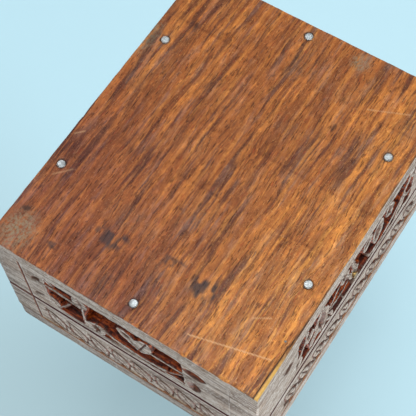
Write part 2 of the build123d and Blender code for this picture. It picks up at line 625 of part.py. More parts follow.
with BuildPart() as lock_case:
    box_between((-CASE_HALF, PLATE_BACK_Y, CASE_LOW), (CASE_HALF, CASE_BACK_Y, CASE_HIGH))
    box_between((-CASE_HALF + CASE_WALL, PLATE_BACK_Y, CASE_LOW + CASE_WALL),
                (CASE_HALF - CASE_WALL, CASE_BACK_Y - CASE_WALL, CASE_HIGH - CASE_WALL), Mode.SUBTRACT)
    for low_x, high_x in BOLT_GUIDES:
        box_between((low_x, BOLT_FRONT_Y, BOLT_LOW - GUIDE_THICK),
                    (high_x, CASE_BACK_Y, BOLT_LOW - BOLT_GAP))
        box_between((low_x, BOLT_FRONT_Y, BOLT_HIGH + BOLT_GAP), (high_x, CASE_BACK_Y, CASE_HIGH))
    box_between((TAB_LOW_X - TAB_GAP, PLATE_BACK_Y, CASE_HIGH - CASE_WALL),
                (TAB_HIGH_X + TAB_GAP, CASE_BACK_Y - CASE_WALL, CASE_HIGH), Mode.SUBTRACT)
    bar_along_y(CAM_HUB_R + FIT, CASE_BACK_Y - CASE_WALL, CASE_BACK_Y, 0, KEYHOLE_Z, Mode.SUBTRACT)
save(lock_case, "lock_case")

with BuildPart() as lock_bolt:
    box_between((BOLT_START_X, BOLT_FRONT_Y, BOLT_LOW), (BOLT_END_X, BOLT_BACK_Y, BOLT_HIGH))
    box_between((CAM_PIN_X - FORK_HALF, BOLT_FRONT_Y, FORK_LOW),
                (CAM_PIN_X + FORK_HALF, BOLT_BACK_Y, BOLT_LOW))
    box_between((CAM_PIN_X - FORK_SLOT_HALF, BOLT_FRONT_Y, FORK_LOW),
                (CAM_PIN_X + FORK_SLOT_HALF, BOLT_BACK_Y, FORK_SLOT_TOP), Mode.SUBTRACT)
save(lock_bolt, "lock_bolt")

with BuildPart() as lock_cam:
    bar_along_y(CAM_JOURNAL_R, INNER_FACE_Y, CAM_FRONT_Y, 0, KEYHOLE_Z)
    bar_along_y(CAM_DISC_R, CAM_FRONT_Y, CAM_BACK_Y, 0, KEYHOLE_Z)
    bar_along_y(CAM_HUB_R, CAM_BACK_Y, CASE_BACK_Y, 0, KEYHOLE_Z)
    bar_along_y(CAM_LOBE_R, CAM_FRONT_Y, CAM_BACK_Y, CAM_PIN_X, CAM_PIN_Z)
    bar_along_y(CAM_PIN_R, CAM_BACK_Y, BOLT_BACK_Y, CAM_PIN_X, CAM_PIN_Z)
    half_socket = KEY_SQUARE / 2 + KEY_SOCKET_GAP
    box_between((-half_socket, INNER_FACE_Y, KEYHOLE_Z - half_socket),
                (half_socket, CAM_BACK_Y, KEYHOLE_Z + half_socket), Mode.SUBTRACT)
save(lock_cam, "lock_cam")

with BuildPart() as lock_screws:
    countersunk(PLATE_BACK, LOCK_SCREW_PLACES, **LOCK_SCREW)
save(lock_screws, "lock_screws")

with BuildPart() as lock_staple:
    box_between((TAB_LOW_X - STAPLE_WING, INNER_FACE_Y, STAPLE_LOW),
                (TAB_HIGH_X + STAPLE_WING, PLATE_BACK_Y, STAPLE_HIGH))
    box_between((TAB_LOW_X, INNER_FACE_Y, STAPLE_LOW), (TAB_HIGH_X, TAB_BACK_Y, STAPLE_ARM_TOP))
    box_between((TAB_LOW_X, TAB_FRONT_Y, TAB_LOW), (TAB_HIGH_X, TAB_BACK_Y, STAPLE_ARM_TOP))
    box_between((TAB_LOW_X, TAB_FRONT_Y + TAB_WALL, BOLT_LOW - SLIDE_GAP),
                (TAB_HIGH_X, TAB_BACK_Y - TAB_WALL, BOLT_HIGH + SLIDE_GAP), Mode.SUBTRACT)
    countersunk(PLATE_BACK, STAPLE_SCREW_PLACES, mode=Mode.SUBTRACT, **STAPLE_SCREW)
save(lock_staple, "lock_staple")

with BuildPart() as staple_screws:
    countersunk(PLATE_BACK, STAPLE_SCREW_PLACES, **STAPLE_SCREW)
save(staple_screws, "staple_screws")

# ---------------------------------------------------------------- hinges
for side_name, hinge_x in (("left", -HINGE_X), ("right", HINGE_X)):
    with BuildPart() as body_leaf:
        hinge_leaf(hinge_x, BODY_RIM - LEAF_THICK, BODY_RIM, BODY_KNUCKLES, LID_KNUCKLES,
                   HINGE_PIN_R, BODY_RIM_PLANE)
    save(body_leaf, f"{side_name}_hinge_body_leaf")
    with BuildPart() as lid_leaf:
        hinge_leaf(hinge_x, LID_RIM, LID_RIM + LEAF_THICK, LID_KNUCKLES, BODY_KNUCKLES,
                   HINGE_PIN_R + FIT, LID_RIM_PLANE)
    save(lid_leaf, f"{side_name}_hinge_lid_leaf")
    with BuildPart() as hinge_pin:
        bar_along_x(HINGE_PIN_R, hinge_x - HINGE_LENGTH / 2, hinge_x + HINGE_LENGTH / 2,
                    HINGE_AXIS_Y, HINGE_AXIS_Z)
    save(hinge_pin, f"{side_name}_hinge_pin")

with BuildPart() as hinge_body_screws:
    for x in (-HINGE_X, HINGE_X):
        countersunk(BODY_RIM_PLANE, hinge_screw_places(BODY_RIM_PLANE, x), **HINGE_SCREW)
save(hinge_body_screws, "hinge_body_screws")

with BuildPart() as hinge_lid_screws:
    for x in (-HINGE_X, HINGE_X):
        countersunk(LID_RIM_PLANE, hinge_screw_places(LID_RIM_PLANE, x), **HINGE_SCREW)
save(hinge_lid_screws, "hinge_lid_screws")
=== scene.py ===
"""Looks of the carved puzzle box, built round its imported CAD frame, in metres.

The box stands on its bottom board. Its walls, rails and boards become dense carved meshes that
replace their plain CAD nodes, and the hardware keeps its CAD mesh with a better material.
Carving is written in millimetres on each face: s to the right seen from outside, t upwards.
"""

import math

import bmesh
import bpy
import numpy as np
from mathutils import Matrix, Vector


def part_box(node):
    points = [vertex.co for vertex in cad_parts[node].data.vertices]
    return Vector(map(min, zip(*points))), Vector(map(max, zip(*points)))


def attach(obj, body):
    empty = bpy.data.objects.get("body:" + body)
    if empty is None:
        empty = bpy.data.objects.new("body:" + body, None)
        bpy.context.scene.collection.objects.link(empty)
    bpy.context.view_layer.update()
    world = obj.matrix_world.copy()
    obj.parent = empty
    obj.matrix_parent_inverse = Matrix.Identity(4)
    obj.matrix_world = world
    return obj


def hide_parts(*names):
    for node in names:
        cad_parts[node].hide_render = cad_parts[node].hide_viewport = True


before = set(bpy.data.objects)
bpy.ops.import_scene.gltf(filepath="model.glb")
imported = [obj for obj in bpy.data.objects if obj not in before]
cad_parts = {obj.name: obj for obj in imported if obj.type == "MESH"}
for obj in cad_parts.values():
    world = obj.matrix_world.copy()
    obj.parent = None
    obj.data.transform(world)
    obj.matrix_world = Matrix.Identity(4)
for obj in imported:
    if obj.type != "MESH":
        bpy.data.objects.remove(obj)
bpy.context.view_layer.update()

# ---------------------------------------------------------------- sizes, in millimetres
MM = 0.001


def node_box(node):
    """A CAD node's lowest and highest corner in millimetres."""
    low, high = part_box(node)
    return low / MM, high / MM


HALF_L, HALF_D, BOARD_TOP = node_box("bottom_board")[1]
INNER_D, BODY_RIM = node_box("right_wall")[1].yz
INNER_L = node_box("right_wall")[0].x
WALL = HALF_L - INNER_L
LID_RIM = node_box("lid_right_rail")[0].z
LID_FRAME_TOP = node_box("lid_right_rail")[1].z
LID_TOP = node_box("lid_top_board")[1].z
LEAF_PIVOT_Z = sum(corner.z for corner in node_box("leaf_pin")) / 2
KEYHOLE_Z = sum(corner.z for corner in node_box("keyhole_plate")) / 2
HINGE_AXIS_Y, HINGE_AXIS_Z = [sum(corner[i] for corner in node_box("left_hinge_pin")) / 2 for i in (1, 2)]

STEP = 0.25
BOARD_STEP = 0.35
SHARP_ANGLE = math.radians(48)
RELIEF = 4.2
WINDOW = (9.6, 31.9)
LONG_WINDOW = (-38.0, 38.0)
SHORT_WINDOW = (-23.0, 31.0)
END_RADIUS = 2.5
LEAF_PITCH = 9.1
GROOVE_DEPTH = 0.7
BORDER_Z = 48.6
BORDER_DEPTH = 1.3
BORDER_BLADE = ((3.6, -5.2), (-2.4, 5.6), 5.6)
BORDER_RIB = [(2.2, -3.4), (0.6, 0.2), (-1.4, 3.8)]
BORDER_HOOK = [(4.6, 0.6), (3.4, 3.4), (0.8, 5.4)]
LONG_BORDER = 10
SHORT_BORDER = 8
SWING_RADIUS = 8.8
SWING_FLOOR = 2.8
KEY_BORE_R = 1.6
PLATE_SEAT_R = 2.8
PLATE_SEAT = 0.6
EYE_R = 2.1
KEYHOLE_BOSS_R = 3.8
PIVOT_BOSS_R = 3.0
HINGE_SEAT = 0.9
HINGE_SEAT_R = 1.85
HINGE_ROOM = 0.1
PAST_EDGE = 1.0
TOP_CORNER_R = 1.5

NAIL_PLACES = [
    (56.4, -2.1), (22.2, -44.75), (-30.3, -43.75), (28.3, 46.5), (-30.7, 44.75), (-57.7, 2.85),
]
NAIL_HEAD_R = 1.5
NAIL_HOLE_R = 1.55
NAIL_HOLE = 0.5
NAIL_DISH_R = 3.2
NAIL_DISH = 0.12

# Vines, by s and t: a stem is its width and the points of its curve; a leaf is its base, tip and
# width; a hollow is a leaf with a depth
LONG_STEMS = [
    (2.4, [(4.5, 8.6), (1.5, 19), (-5.5, 27.6), (-14, 30.4), (-23, 28.2), (-31, 20.5), (-36, 8.6)]),
    (2.2, [(11.5, 8.6), (7.5, 15), (3.8, 22), (0.5, 28.6), (-0.5, 32.8)]),
    (1.6, [(4.5, 21.4), (10, 23.6), (17.5, 22.2)]),
    (1.4, [(9.2, 11.6), (14, 15.4), (18, 20)]),
    (2.0, [(39, 26), (34.6, 20), (32.6, 14), (33.4, 8.6)]),
    (2.0, [(-39, 26.5), (-34.5, 26), (-31.2, 20.6)]),
]
LONG_LEAVES = [
    ((23.4, 9), (22.4, 30.6), 9.2), ((19.4, 22.6), (15.6, 32.6), 4.6), ((26, 20), (30, 31.6), 4.2),
    ((9.8, 9), (8.4, 17.2), 5.8), ((-7.6, 9), (-4.4, 19), 6.0), ((-13.6, 9), (-13.2, 26.4), 7.6),
    ((-19.6, 9), (-22.2, 20), 6.0), ((32, 22.4), (29.2, 14.4), 4.6), ((-33, 23), (-27, 32.4), 4.4),
    ((-37.2, 9), (-38.6, 18), 5.2), ((38.6, 32.6), (36, 24), 5.0),
]
LONG_HOLLOWS = [((-46, 20), (-40.5, 20), 5.0, 1.0), ((40.6, 18), (47, 17), 5.4, 1.2)]
SHORT_STEMS = [
    (1.8, [(-27, 19.6), (-20, 20.6), (-10, 20.6)]),
    (0.9, [(-24.5, 21.8), (-20, 25.5), (-16, 29.6)]),
    (2.2, [(-15.4, 28.8), (-10, 30.4), (-4.5, 30.7), (2, 29.6), (7, 27.5), (10.4, 25)]),
    (1.4, [(16.4, 16.5), (16.8, 22), (16.9, 28), (16.4, 33)]),
    (2.4, [(17.5, 17.6), (22, 16.2), (27, 15.4), (32.6, 15.6)]),
    (0.9, [(22, 20.6), (24.6, 25.4), (28, 31)]),
]
SHORT_LEAVES = [
    ((-9.6, 12.4), (-5.2, 24.8), 7.4), ((-6.4, 22.4), (-1.2, 19.4), 3.4), ((-4, 20.4), (1.6, 12.6), 6.2),
    ((12.8, 33.2), (12.2, 24.4), 7.6), ((17.5, 8), (16.5, 17.5), 6.4), ((28.4, 32.6), (31, 23.4), 5.0),
    ((-25, 31.6), (-13.6, 31.4), 4.4), ((-12, 32.6), (9, 32), 3.4), ((30.4, 8.6), (27.4, 13.4), 3.2),
]
SHORT_HOLLOWS = [
    ((-32.6, 15.6), (-22.6, 14.8), 6.6, 2.2), ((-27.6, 22.6), (-26, 32.4), 5.8, 1.5),
    ((33, 12.4), (37.4, 17.6), 3.4, 1.3), ((33, 26), (39, 31), 2.6, 0.5),
    ((-2.4, 18.6), (0.8, 14.2), 3.6, 1.6), ((12.8, 31.6), (12.2, 26), 4.6, 1.3),
    ((17.2, 10.4), (16.7, 15.6), 2.6, 0.5),
]
TOP_STEMS = [
    (2.0, [(12, 14), (22, 24), (34, 29), (44, 31), (52, 41)]),
    (1.8, [(18, 6), (28, 10), (38, 9), (46, 14), (52, 12)]),
    (1.8, [(0, 18), (4, 26), (3, 33), (0, 41)]),
]
TOP_LEAVES = [
    ((21, 23), (19, 36), 6.0), ((27, 26.5), (33, 38), 5.4), ((30, 27), (36, 17), 6.0),
    ((40, 30), (41, 39), 4.6), ((43, 31), (49, 22), 5.0), ((24, 9), (27, 20), 5.2),
    ((36, 9.4), (41, 1.5), 5.0), ((4, 27), (12, 33), 5.2),
]
TOP_PANEL = (50.5, 39.5)
TOP_RELIEF = 2.4
TOP_RING = 19.0
TOP_RING_WIDTH = 2.2
TOP_PETALS = 8
TOP_PETAL_WIDTH = 8.2
TOP_PETAL_LAP = 0.4
TOP_BOSS = 4.0

# ---------------------------------------------------------------- camera
CAMERA_PLACE = Vector((0.1521, -0.1102, -0.3403))
CAMERA_AIM = Vector((0.01649, -0.00376, 0.0))
CAMERA_RIGHT = Vector((-0.54557, -0.83689, 0.04438))
CAMERA_LENS = 102.5
CAMERA_SENSOR = 36.0


def add_camera():
    """A camera below the box, so that it looks up at the nailed underside and two carved sides."""
    camera = bpy.data.objects.new("camera", bpy.data.cameras.new("camera"))
    bpy.context.scene.collection.objects.link(camera)
    back = (CAMERA_PLACE - CAMERA_AIM).normalized()
    right = (CAMERA_RIGHT - back * CAMERA_RIGHT.dot(back)).normalized()
    up = back.cross(right)
    camera.matrix_world = Matrix.Translation(CAMERA_PLACE) @ Matrix((right, up, back)).transposed().to_4x4()
    camera.data.lens = CAMERA_LENS
    camera.data.sensor_width = CAMERA_SENSOR
    camera.data.clip_start = 0.01
    camera.data.clip_end = 20.0
    bpy.context.scene.camera = camera


add_camera()
bpy.context.scene.view_settings.view_transform = "Standard"


# ---------------------------------------------------------------- a short way to write materials
class Graph:
    """One material's nodes, written as nested calls."""

    def __init__(self, name):
        self.material = bpy.data.materials.new(name)
        self.material.use_nodes = True
        self.tree = self.material.node_tree
        self.tree.nodes.clear()
        self.output = self.tree.nodes.new("ShaderNodeOutputMaterial")

    def put(self, socket, value):
        """Link a socket to another node's output, or set its number or colour."""
        if isinstance(value, bpy.types.NodeSocket):
            self.tree.links.new(value, socket)
        elif value is not None:
            socket.default_value = (*value, 1.0) if socket.type == "RGBA" and len(value) == 3 else value

    def node(self, kind, inputs=None, **settings):
        made = self.tree.nodes.new("ShaderNode" + kind)
        for key, value in settings.items():
            setattr(made, key, value)
        for key, value in (inputs or {}).items():
            self.put(made.inputs[key], value)
        return made

    def place(self):
        """Places on the object in millimetres."""
        place = self.node("TexCoord").outputs["Object"]
        return self.node("VectorMath", {0: place, "Scale": 1 / MM}, operation="SCALE").outputs[0]

    def stretch(self, place, *lengths):
        """Places divided by a length along each axis."""
        factors = tuple(1 / length for length in lengths)
        return self.node("VectorMath", {0: place, 1: factors}, operation="MULTIPLY").outputs[0]

    def coords(self, length=1.0):
        """Places divided by one length."""
        return self.stretch(self.place(), length, length, length)

    def shifted(self, place, across, axis):
        """Places moved along one axis."""
        step = self.node("CombineXYZ", {axis: across}).outputs[0]
        return self.node("VectorMath", {0: place, 1: step}, operation="ADD").outputs[0]

    def noise(self, vector, scale, detail=3.0, rough=0.55):
        """Noise from 0 to 1."""
        settings = {"Vector": vector, "Scale": scale, "Detail": detail, "Roughness": rough}
        return self.node("TexNoise", settings).outputs["Fac"]

    def ramp(self, factor, *stops):
        """Colours or numbers at places from 0 to 1."""
        made = self.node("ValToRGB", {"Fac": factor})
        elements = made.color_ramp.elements
        while len(elements) < len(stops):
            elements.new(0.5)
        for element, (place, value) in zip(elements, stops):
            element.position = place
            element.color = (*value, 1.0) if isinstance(value, tuple) else (value, value, value, 1.0)
        return made.outputs["Color"]

    def mix(self, factor, a, b, blend="MIX"):
        made = self.node("Mix", data_type="RGBA", blend_type=blend, clamp_factor=True)
        self.put(made.inputs[0], factor)
        self.put(made.inputs[6], a)
        self.put(made.inputs[7], b)
        return made.outputs[2]

    def lay(self, under, colour, cover, strength=1.0):
        """Lay a colour over another, where the cover is high."""
        return self.mix(self.math("MULTIPLY", cover, strength), under, colour)

    def tint(self, under, factors, cover, strength=1.0):
        """Multiply a colour by three factors, where the cover is high."""
        return self.lay(under, self.mix(1.0, under, factors, "MULTIPLY"), cover, strength)

    def math(self, operation, a, b):
        return self.node("Math", {0: a, 1: b}, operation=operation).outputs[0]

    def average(self, a, b, share):
        """The average of two values, of which the first has this share."""
        return self.math("ADD", self.math("MULTIPLY", a, share), self.math("MULTIPLY", b, 1 - share))

    def spread(self, value, low, high):
        """0 below low, 1 above high."""
        made = self.node("MapRange", {"Value": value, "From Min": low, "From Max": high},
                         interpolation_type="SMOOTHSTEP")
        return made.outputs[0]

    def painted(self, name):
        """A value painted on the mesh's points."""
        return self.node("Attribute", attribute_name=name, attribute_type="GEOMETRY").outputs["Fac"]

    def bump(self, height, distance, strength):
        """Height in units of distance, which is in millimetres."""
        settings = {"Height": height, "Distance": distance * MM, "Strength": strength}
        return self.node("Bump", settings).outputs["Normal"]

    def surface(self, **inputs):
        """A Principled surface with these inputs."""
        shader = self.node("BsdfPrincipled", {key.replace("_", " "): value for key, value in inputs.items()})
        self.tree.links.new(shader.outputs["BSDF"], self.output.inputs["Surface"])
        return self.material


# ---------------------------------------------------------------- materials
def grain(g, along="X", sway=3.0, curl=None):
    """Rosewood figure that runs along one axis: broad streaks, lines, fine fibres and short pores."""
    place = g.place()
    bend = g.math("SUBTRACT", g.noise(g.stretch(place, 38, 24, 24), 1.0, 2.0), 0.5)
    drift = g.math("MULTIPLY", bend, sway)
    if curl is not None:
        bend = g.math("SUBTRACT", g.noise(g.stretch(place, 11, 8, 8), 1.0, 2.0), 0.5)
        drift = g.math("ADD", drift, g.math("MULTIPLY", g.math("MULTIPLY", bend, curl), 2.6))
    place = g.shifted(place, drift, "Y" if along == "X" else "X")

    def layer(long_way, cross_way, detail=3.0, rough=0.6, offset=0.0):
        lengths = [long_way if axis == along else cross_way for axis in "XYZ"]
        return g.noise(g.shifted(g.stretch(place, *lengths), offset, "Z"), 1.0, detail, rough)

    return {
        "broad": layer(75, 6.5), "streaks": layer(42, 3.0, 4.0), "lines": layer(26, 1.1, 3.0, 0.65, 3.7),
        "gold": layer(30, 2.2, 3.0, 0.6, 9.1), "fibres": layer(5, 0.4, 3.0, 0.7, 5.2),
        "pores": g.spread(layer(2.6, 0.42, 1.0, 0.5, 1.3), 0.60, 0.72),
        "ticks": g.spread(layer(3.8, 0.55, 1.0, 0.5, 7.7), 0.63, 0.74),
        "speckle": g.noise(place, 1.6, 3.0, 0.7),
    }


def board_wood():
    """Oiled sheesham of the underside: orange brown with dark streaks, worn, dusty and scratched, with
    patches of painted sheen and a painted shadow along the front crack.
    """
    g = Graph("board_wood")
    w = grain(g, "X", 4.0, g.painted("curl"))
    base = g.ramp(w["broad"], (0.34, (0.200, 0.062, 0.018)), (0.50, (0.320, 0.105, 0.026)),
                  (0.64, (0.420, 0.155, 0.036)))
    dark = g.average(w["broad"], w["streaks"], 0.35)
    mottle = g.noise(g.stretch(g.place(), 3.6, 2.0, 2.0), 1.0, 4.0, 0.7)
    # painted sheen: broad patches where the oil's shine is laid on as pale bluish grey
    sheen_haze = g.noise(g.stretch(g.place(), 18.0, 3.4, 3.4), 1.0, 5.0, 0.72)
    dust = g.spread(g.noise(g.coords(), 0.9, 5.0, 0.75), 0.38, 0.62)
    colour = g.lay(base, (0.085, 0.025, 0.016), g.spread(dark, 0.49, 0.59), 0.88)
    colour = g.lay(colour, (0.090, 0.022, 0.010), g.spread(w["lines"], 0.50, 0.64), 0.55)
    colour = g.lay(colour, (0.600, 0.240, 0.050), g.spread(w["gold"], 0.50, 0.66), 0.45)
    colour = g.lay(colour, (0.660, 0.300, 0.095), g.spread(w["fibres"], 0.54, 0.74), 0.30)
    colour = g.lay(colour, (0.110, 0.028, 0.012), g.spread(w["fibres"], 0.46, 0.32), 0.38)
    colour = g.lay(colour, (0.230, 0.034, 0.010), w["ticks"], 0.55)
    colour = g.lay(colour, (0.045, 0.014, 0.011), w["pores"], 0.62)
    colour = g.tint(colour, (1.70, 1.75, 1.60), g.spread(mottle, 0.52, 0.66), 0.50)
    colour = g.tint(colour, (0.55, 0.50, 0.55), g.spread(mottle, 0.48, 0.34), 0.40)
    colour = g.lay(colour, (0.740, 0.420, 0.160), g.spread(w["speckle"], 0.56, 0.70), 0.28)
    # painted sheen laid over the wood in broad pale patches
    colour = g.lay(colour, (0.500, 0.340, 0.270), g.spread(sheen_haze, 0.48, 0.72), 0.20)
    colour = g.tint(colour, (1.62, 1.92, 1.72), g.painted("pale"))
    colour = g.tint(colour, (0.72, 0.62, 0.86), g.painted("red"))
    colour = g.tint(colour, (0.52, 0.42, 0.45), g.painted("band"))
    colour = g.lay(colour, (0.240, 0.185, 0.120), g.math("MULTIPLY", g.painted("dirt"), dust))
    # dark spots and nail stains, with a painted shadow along the front crack
    colour = g.lay(colour, (0.022, 0.014, 0.014), g.painted("stain_and_shade"))
    colour = g.lay(colour, (0.018, 0.022, 0.030), g.painted("ink"))
    raw = g.mix(w["fibres"], (0.66, 0.40, 0.11), (0.46, 0.24, 0.05))
    colour = g.lay(colour, raw, g.painted("raw"))
    colour = g.lay(colour, (0.620, 0.380, 0.200), g.painted("scratch"))
    height = g.math("SUBTRACT", g.math("MULTIPLY", w["fibres"], 0.8), w["pores"])
    rough = g.ramp(g.noise(g.coords(8.0), 1.0, 3.0), (0.3, 0.40), (0.7, 0.58))
    return g.surface(Base_Color=colour, Roughness=rough,
                     Normal=g.bump(height, 0.14, 0.9), Specular_IOR_Level=0.25)


def carved_wood(name, along, light_and_shade_tone=1.0):
    """Limed outer face over dark oiled cuts, by the values painted on the mesh, made lighter or darker as a
    whole by a factor of painted light and shade.
    """
    g = Graph(name)
    w = grain(g, along, 1.5)
    scuffs = g.noise(g.coords(1.3), 1.0, 4.0, 0.7)
    blotch = g.noise(g.coords(13.0), 1.0, 3.0)
    cut = g.painted("relief")
    wash = g.ramp(g.average(w["lines"], w["streaks"], 0.55), (0.40, (0.105, 0.072, 0.052)),
                  (0.48, (0.245, 0.196, 0.158)), (0.58, (0.400, 0.345, 0.295)))
    wash = g.lay(wash, (0.075, 0.042, 0.032), w["pores"], 0.70)
    wash = g.lay(wash, (0.090, 0.054, 0.040), g.spread(w["fibres"], 0.48, 0.34), 0.60)
    wash = g.lay(wash, (0.560, 0.530, 0.500), g.spread(w["fibres"], 0.52, 0.70), 0.55)
    wash = g.lay(wash, (0.540, 0.510, 0.470), g.spread(scuffs, 0.54, 0.66), 0.55)
    wash = g.lay(wash, (0.120, 0.072, 0.048), g.spread(scuffs, 0.46, 0.36), 0.55)
    wash = g.tint(wash, (0.78, 0.62, 0.50), g.spread(blotch, 0.50, 0.70), 0.50)
    # painted light and shade: the whole limed face lighter or darker for how the light falls on its side
    wash = g.mix(1.0, wash, (light_and_shade_tone, light_and_shade_tone, light_and_shade_tone), "MULTIPLY")
    # painted highlight, partly limed wear: a paler line along arrises and vine rims
    wash = g.lay(wash, (0.560, 0.520, 0.470), g.painted("edge"), 0.50)
    # browner patches above the lid's leaf border: partly stain, partly painted shade
    wash = g.tint(wash, (0.58, 0.40, 0.18), g.painted("yellow"), 0.80)
    oiled = g.ramp(w["lines"], (0.38, (0.022, 0.003, 0.001)), (0.50, (0.110, 0.014, 0.003)),
                   (0.62, (0.340, 0.062, 0.008)))
    colour = g.lay(wash, (0.085, 0.036, 0.022), g.spread(cut, 0.0, 0.5), 0.90)
    colour = g.lay(colour, oiled, g.spread(cut, 0.5, 1.0))
    colour = g.lay(colour, (0.048, 0.004, 0.003), g.painted("seam"))
    height = g.math("SUBTRACT", w["fibres"], w["pores"])
    rough = g.ramp(cut, (0.0, 0.70), (1.0, 0.50))
    return g.surface(Base_Color=colour, Roughness=rough,
                     Normal=g.bump(height, 0.14, 0.9), Specular_IOR_Level=0.18)


def inner_wood():
    """Plain oiled wood of the inside, the rims and the drawer."""
    g = Graph("inner_wood")
    w = grain(g, "X")
    colour = g.ramp(g.average(w["streaks"], w["lines"], 0.6), (0.34, (0.100, 0.040, 0.022)),
                    (0.50, (0.240, 0.098, 0.045)), (0.66, (0.370, 0.175, 0.085)))
    colour = g.lay(colour, (0.050, 0.018, 0.012), w["pores"], 0.60)
    height = g.math("SUBTRACT", g.math("MULTIPLY", w["fibres"], 0.5), w["pores"])
    rough = g.ramp(w["fibres"], (0.3, 0.52), (0.7, 0.68))
    return g.surface(Base_Color=colour, Roughness=rough,
                     Normal=g.bump(height, 0.08, 0.7), Specular_IOR_Level=0.35)


def metal(name, clean, dull, rough_low, rough_high, grit):
    """Used metal: cleaner where it is rubbed, with duller patches and fine pits."""
    g = Graph(name)
    patches = g.noise(g.coords(), 0.55, 4.0, 0.6)
    fine = g.noise(g.coords(), 3.2, 3.0, 0.6)
    tarnish = g.spread(g.average(patches, fine, 0.7), 0.42, 0.66)
    colour = g.mix(tarnish, clean, dull)
    rough = g.mix(tarnish, (rough_low,) * 3, (rough_high,) * 3)
    return g.surface(Base_Color=colour, Roughness=rough, Metallic=1.0, Normal=g.bump(fine, grit, 0.6))


MATERIALS = {
    "board": board_wood(),
    # a brighter copy of the carved material: painted light on the long sides, the lid top and the keyhole
    # leaf
    "long_face": carved_wood("carved_long", "X", 1.22),
    "short_face": carved_wood("carved_short", "Y"),
    # a darker copy: painted shade on the top board's short ends
    "shaded_short_band": carved_wood("carved_shaded_short_band", "Y", 0.72),
    "inner": inner_wood(),
    "nail": metal("nail_steel", (0.60, 0.63, 0.64), (0.30, 0.31, 0.31), 0.42, 0.66, 0.28),
    "brad": metal("brad_steel", (0.16, 0.15, 0.14), (0.07, 0.06, 0.06), 0.5, 0.7, 0.06),
    "brass": metal("brass", (0.80, 0.56, 0.22), (0.32, 0.20, 0.08), 0.24, 0.5, 0.03),
}


# ---------------------------------------------------------------- fields on a face, in millimetres
def ease(value, low, high):
    """0 below low, 1 above high, smooth between."""
    k = np.clip((value - low) / (high - low), 0, 1)
    return k * k * (3 - 2 * k)


def lattice(i, j, seed):
    """A repeatable value from 0 to 1 at each whole place."""
    k = np.sin(i * 127.1 + j * 311.7 + seed * 74.7) * 43758.5453
    return k - np.floor(k)


def lumps(s, t, size, seed):
    """Smooth noise from -1 to 1 with lumps of about this size, or of a size each way."""
    size_s, size_t = size if isinstance(size, tuple) else (size, size)
    u, v = s / size_s, t / size_t
    i, j = np.floor(u), np.floor(v)
    a, b = ease(u - i, 0, 1), ease(v - j, 0, 1)
    low = lattice(i, j, seed) * (1 - a) + lattice(i + 1, j, seed) * a
    high = lattice(i, j + 1, seed) * (1 - a) + lattice(i + 1, j + 1, seed) * a
    return 2 * (low * (1 - b) + high * b) - 1


def curve(points, pieces=12):
    """Points along a smooth curve through the given ones."""
    p = np.array([points[0], *points, points[-1]], float)
    k = np.linspace(0, 1, pieces, endpoint=False)[:, None]
    runs = []
    for a, b, c, d in zip(p, p[1:], p[2:], p[3:]):
        runs.append(0.5 * (2 * b + (c - a) * k + (2 * a - 5 * b + 4 * c - d) * k**2
                           + (3 * b - a - 3 * c + d) * k**3))
    return np.concatenate([*runs, p[-1:]])


def from_line(s, t, path):
    """Distance from a line of short straight runs."""
    best = np.full(s.shape, 1e9)
    for (as_, at), (bs, bt) in zip(path, path[1:]):
        ds, dt = bs - as_, bt - at
        k = np.clip(((s - as_) * ds + (t - at) * dt) / (ds * ds + dt * dt), 0, 1)
        best = np.minimum(best, np.hypot(s - as_ - k * ds, t - at - k * dt))
    return best


def from_leaf(s, t, base, tip, width):
    """Distance outside a leaf between two arcs, negative inside it."""
    base, tip = np.array(base, float), np.array(tip, float)
    half = np.linalg.norm(tip - base) / 2
    rise = width / 2
    radius = (half**2 + rise**2) / (2 * rise)
    across = np.array([-(tip - base)[1], (tip - base)[0]]) / (2 * half)
    middle = (base + tip) / 2
    found = [np.hypot(*(np.stack([s, t]) - (middle + k * across * (radius - rise))[:, None, None])) - radius
             for k in (-1, 1)]
    return np.maximum(*found)


def from_rectangle(s, t, half_s, half_t, radius):
    """Distance outside a rectangle with round corners, negative inside it."""
    u, v = np.abs(s) - half_s + radius, np.abs(t) - half_t + radius
    return np.minimum(np.maximum(u, v), 0) + np.hypot(np.maximum(u, 0), np.maximum(v, 0)) - radius


def shoulder(inside, radius):
    """How far a rounded edge has fallen, by the distance inside the edge."""
    k = np.clip(radius - inside, 0, radius)
    return radius - np.sqrt(radius**2 - k**2)


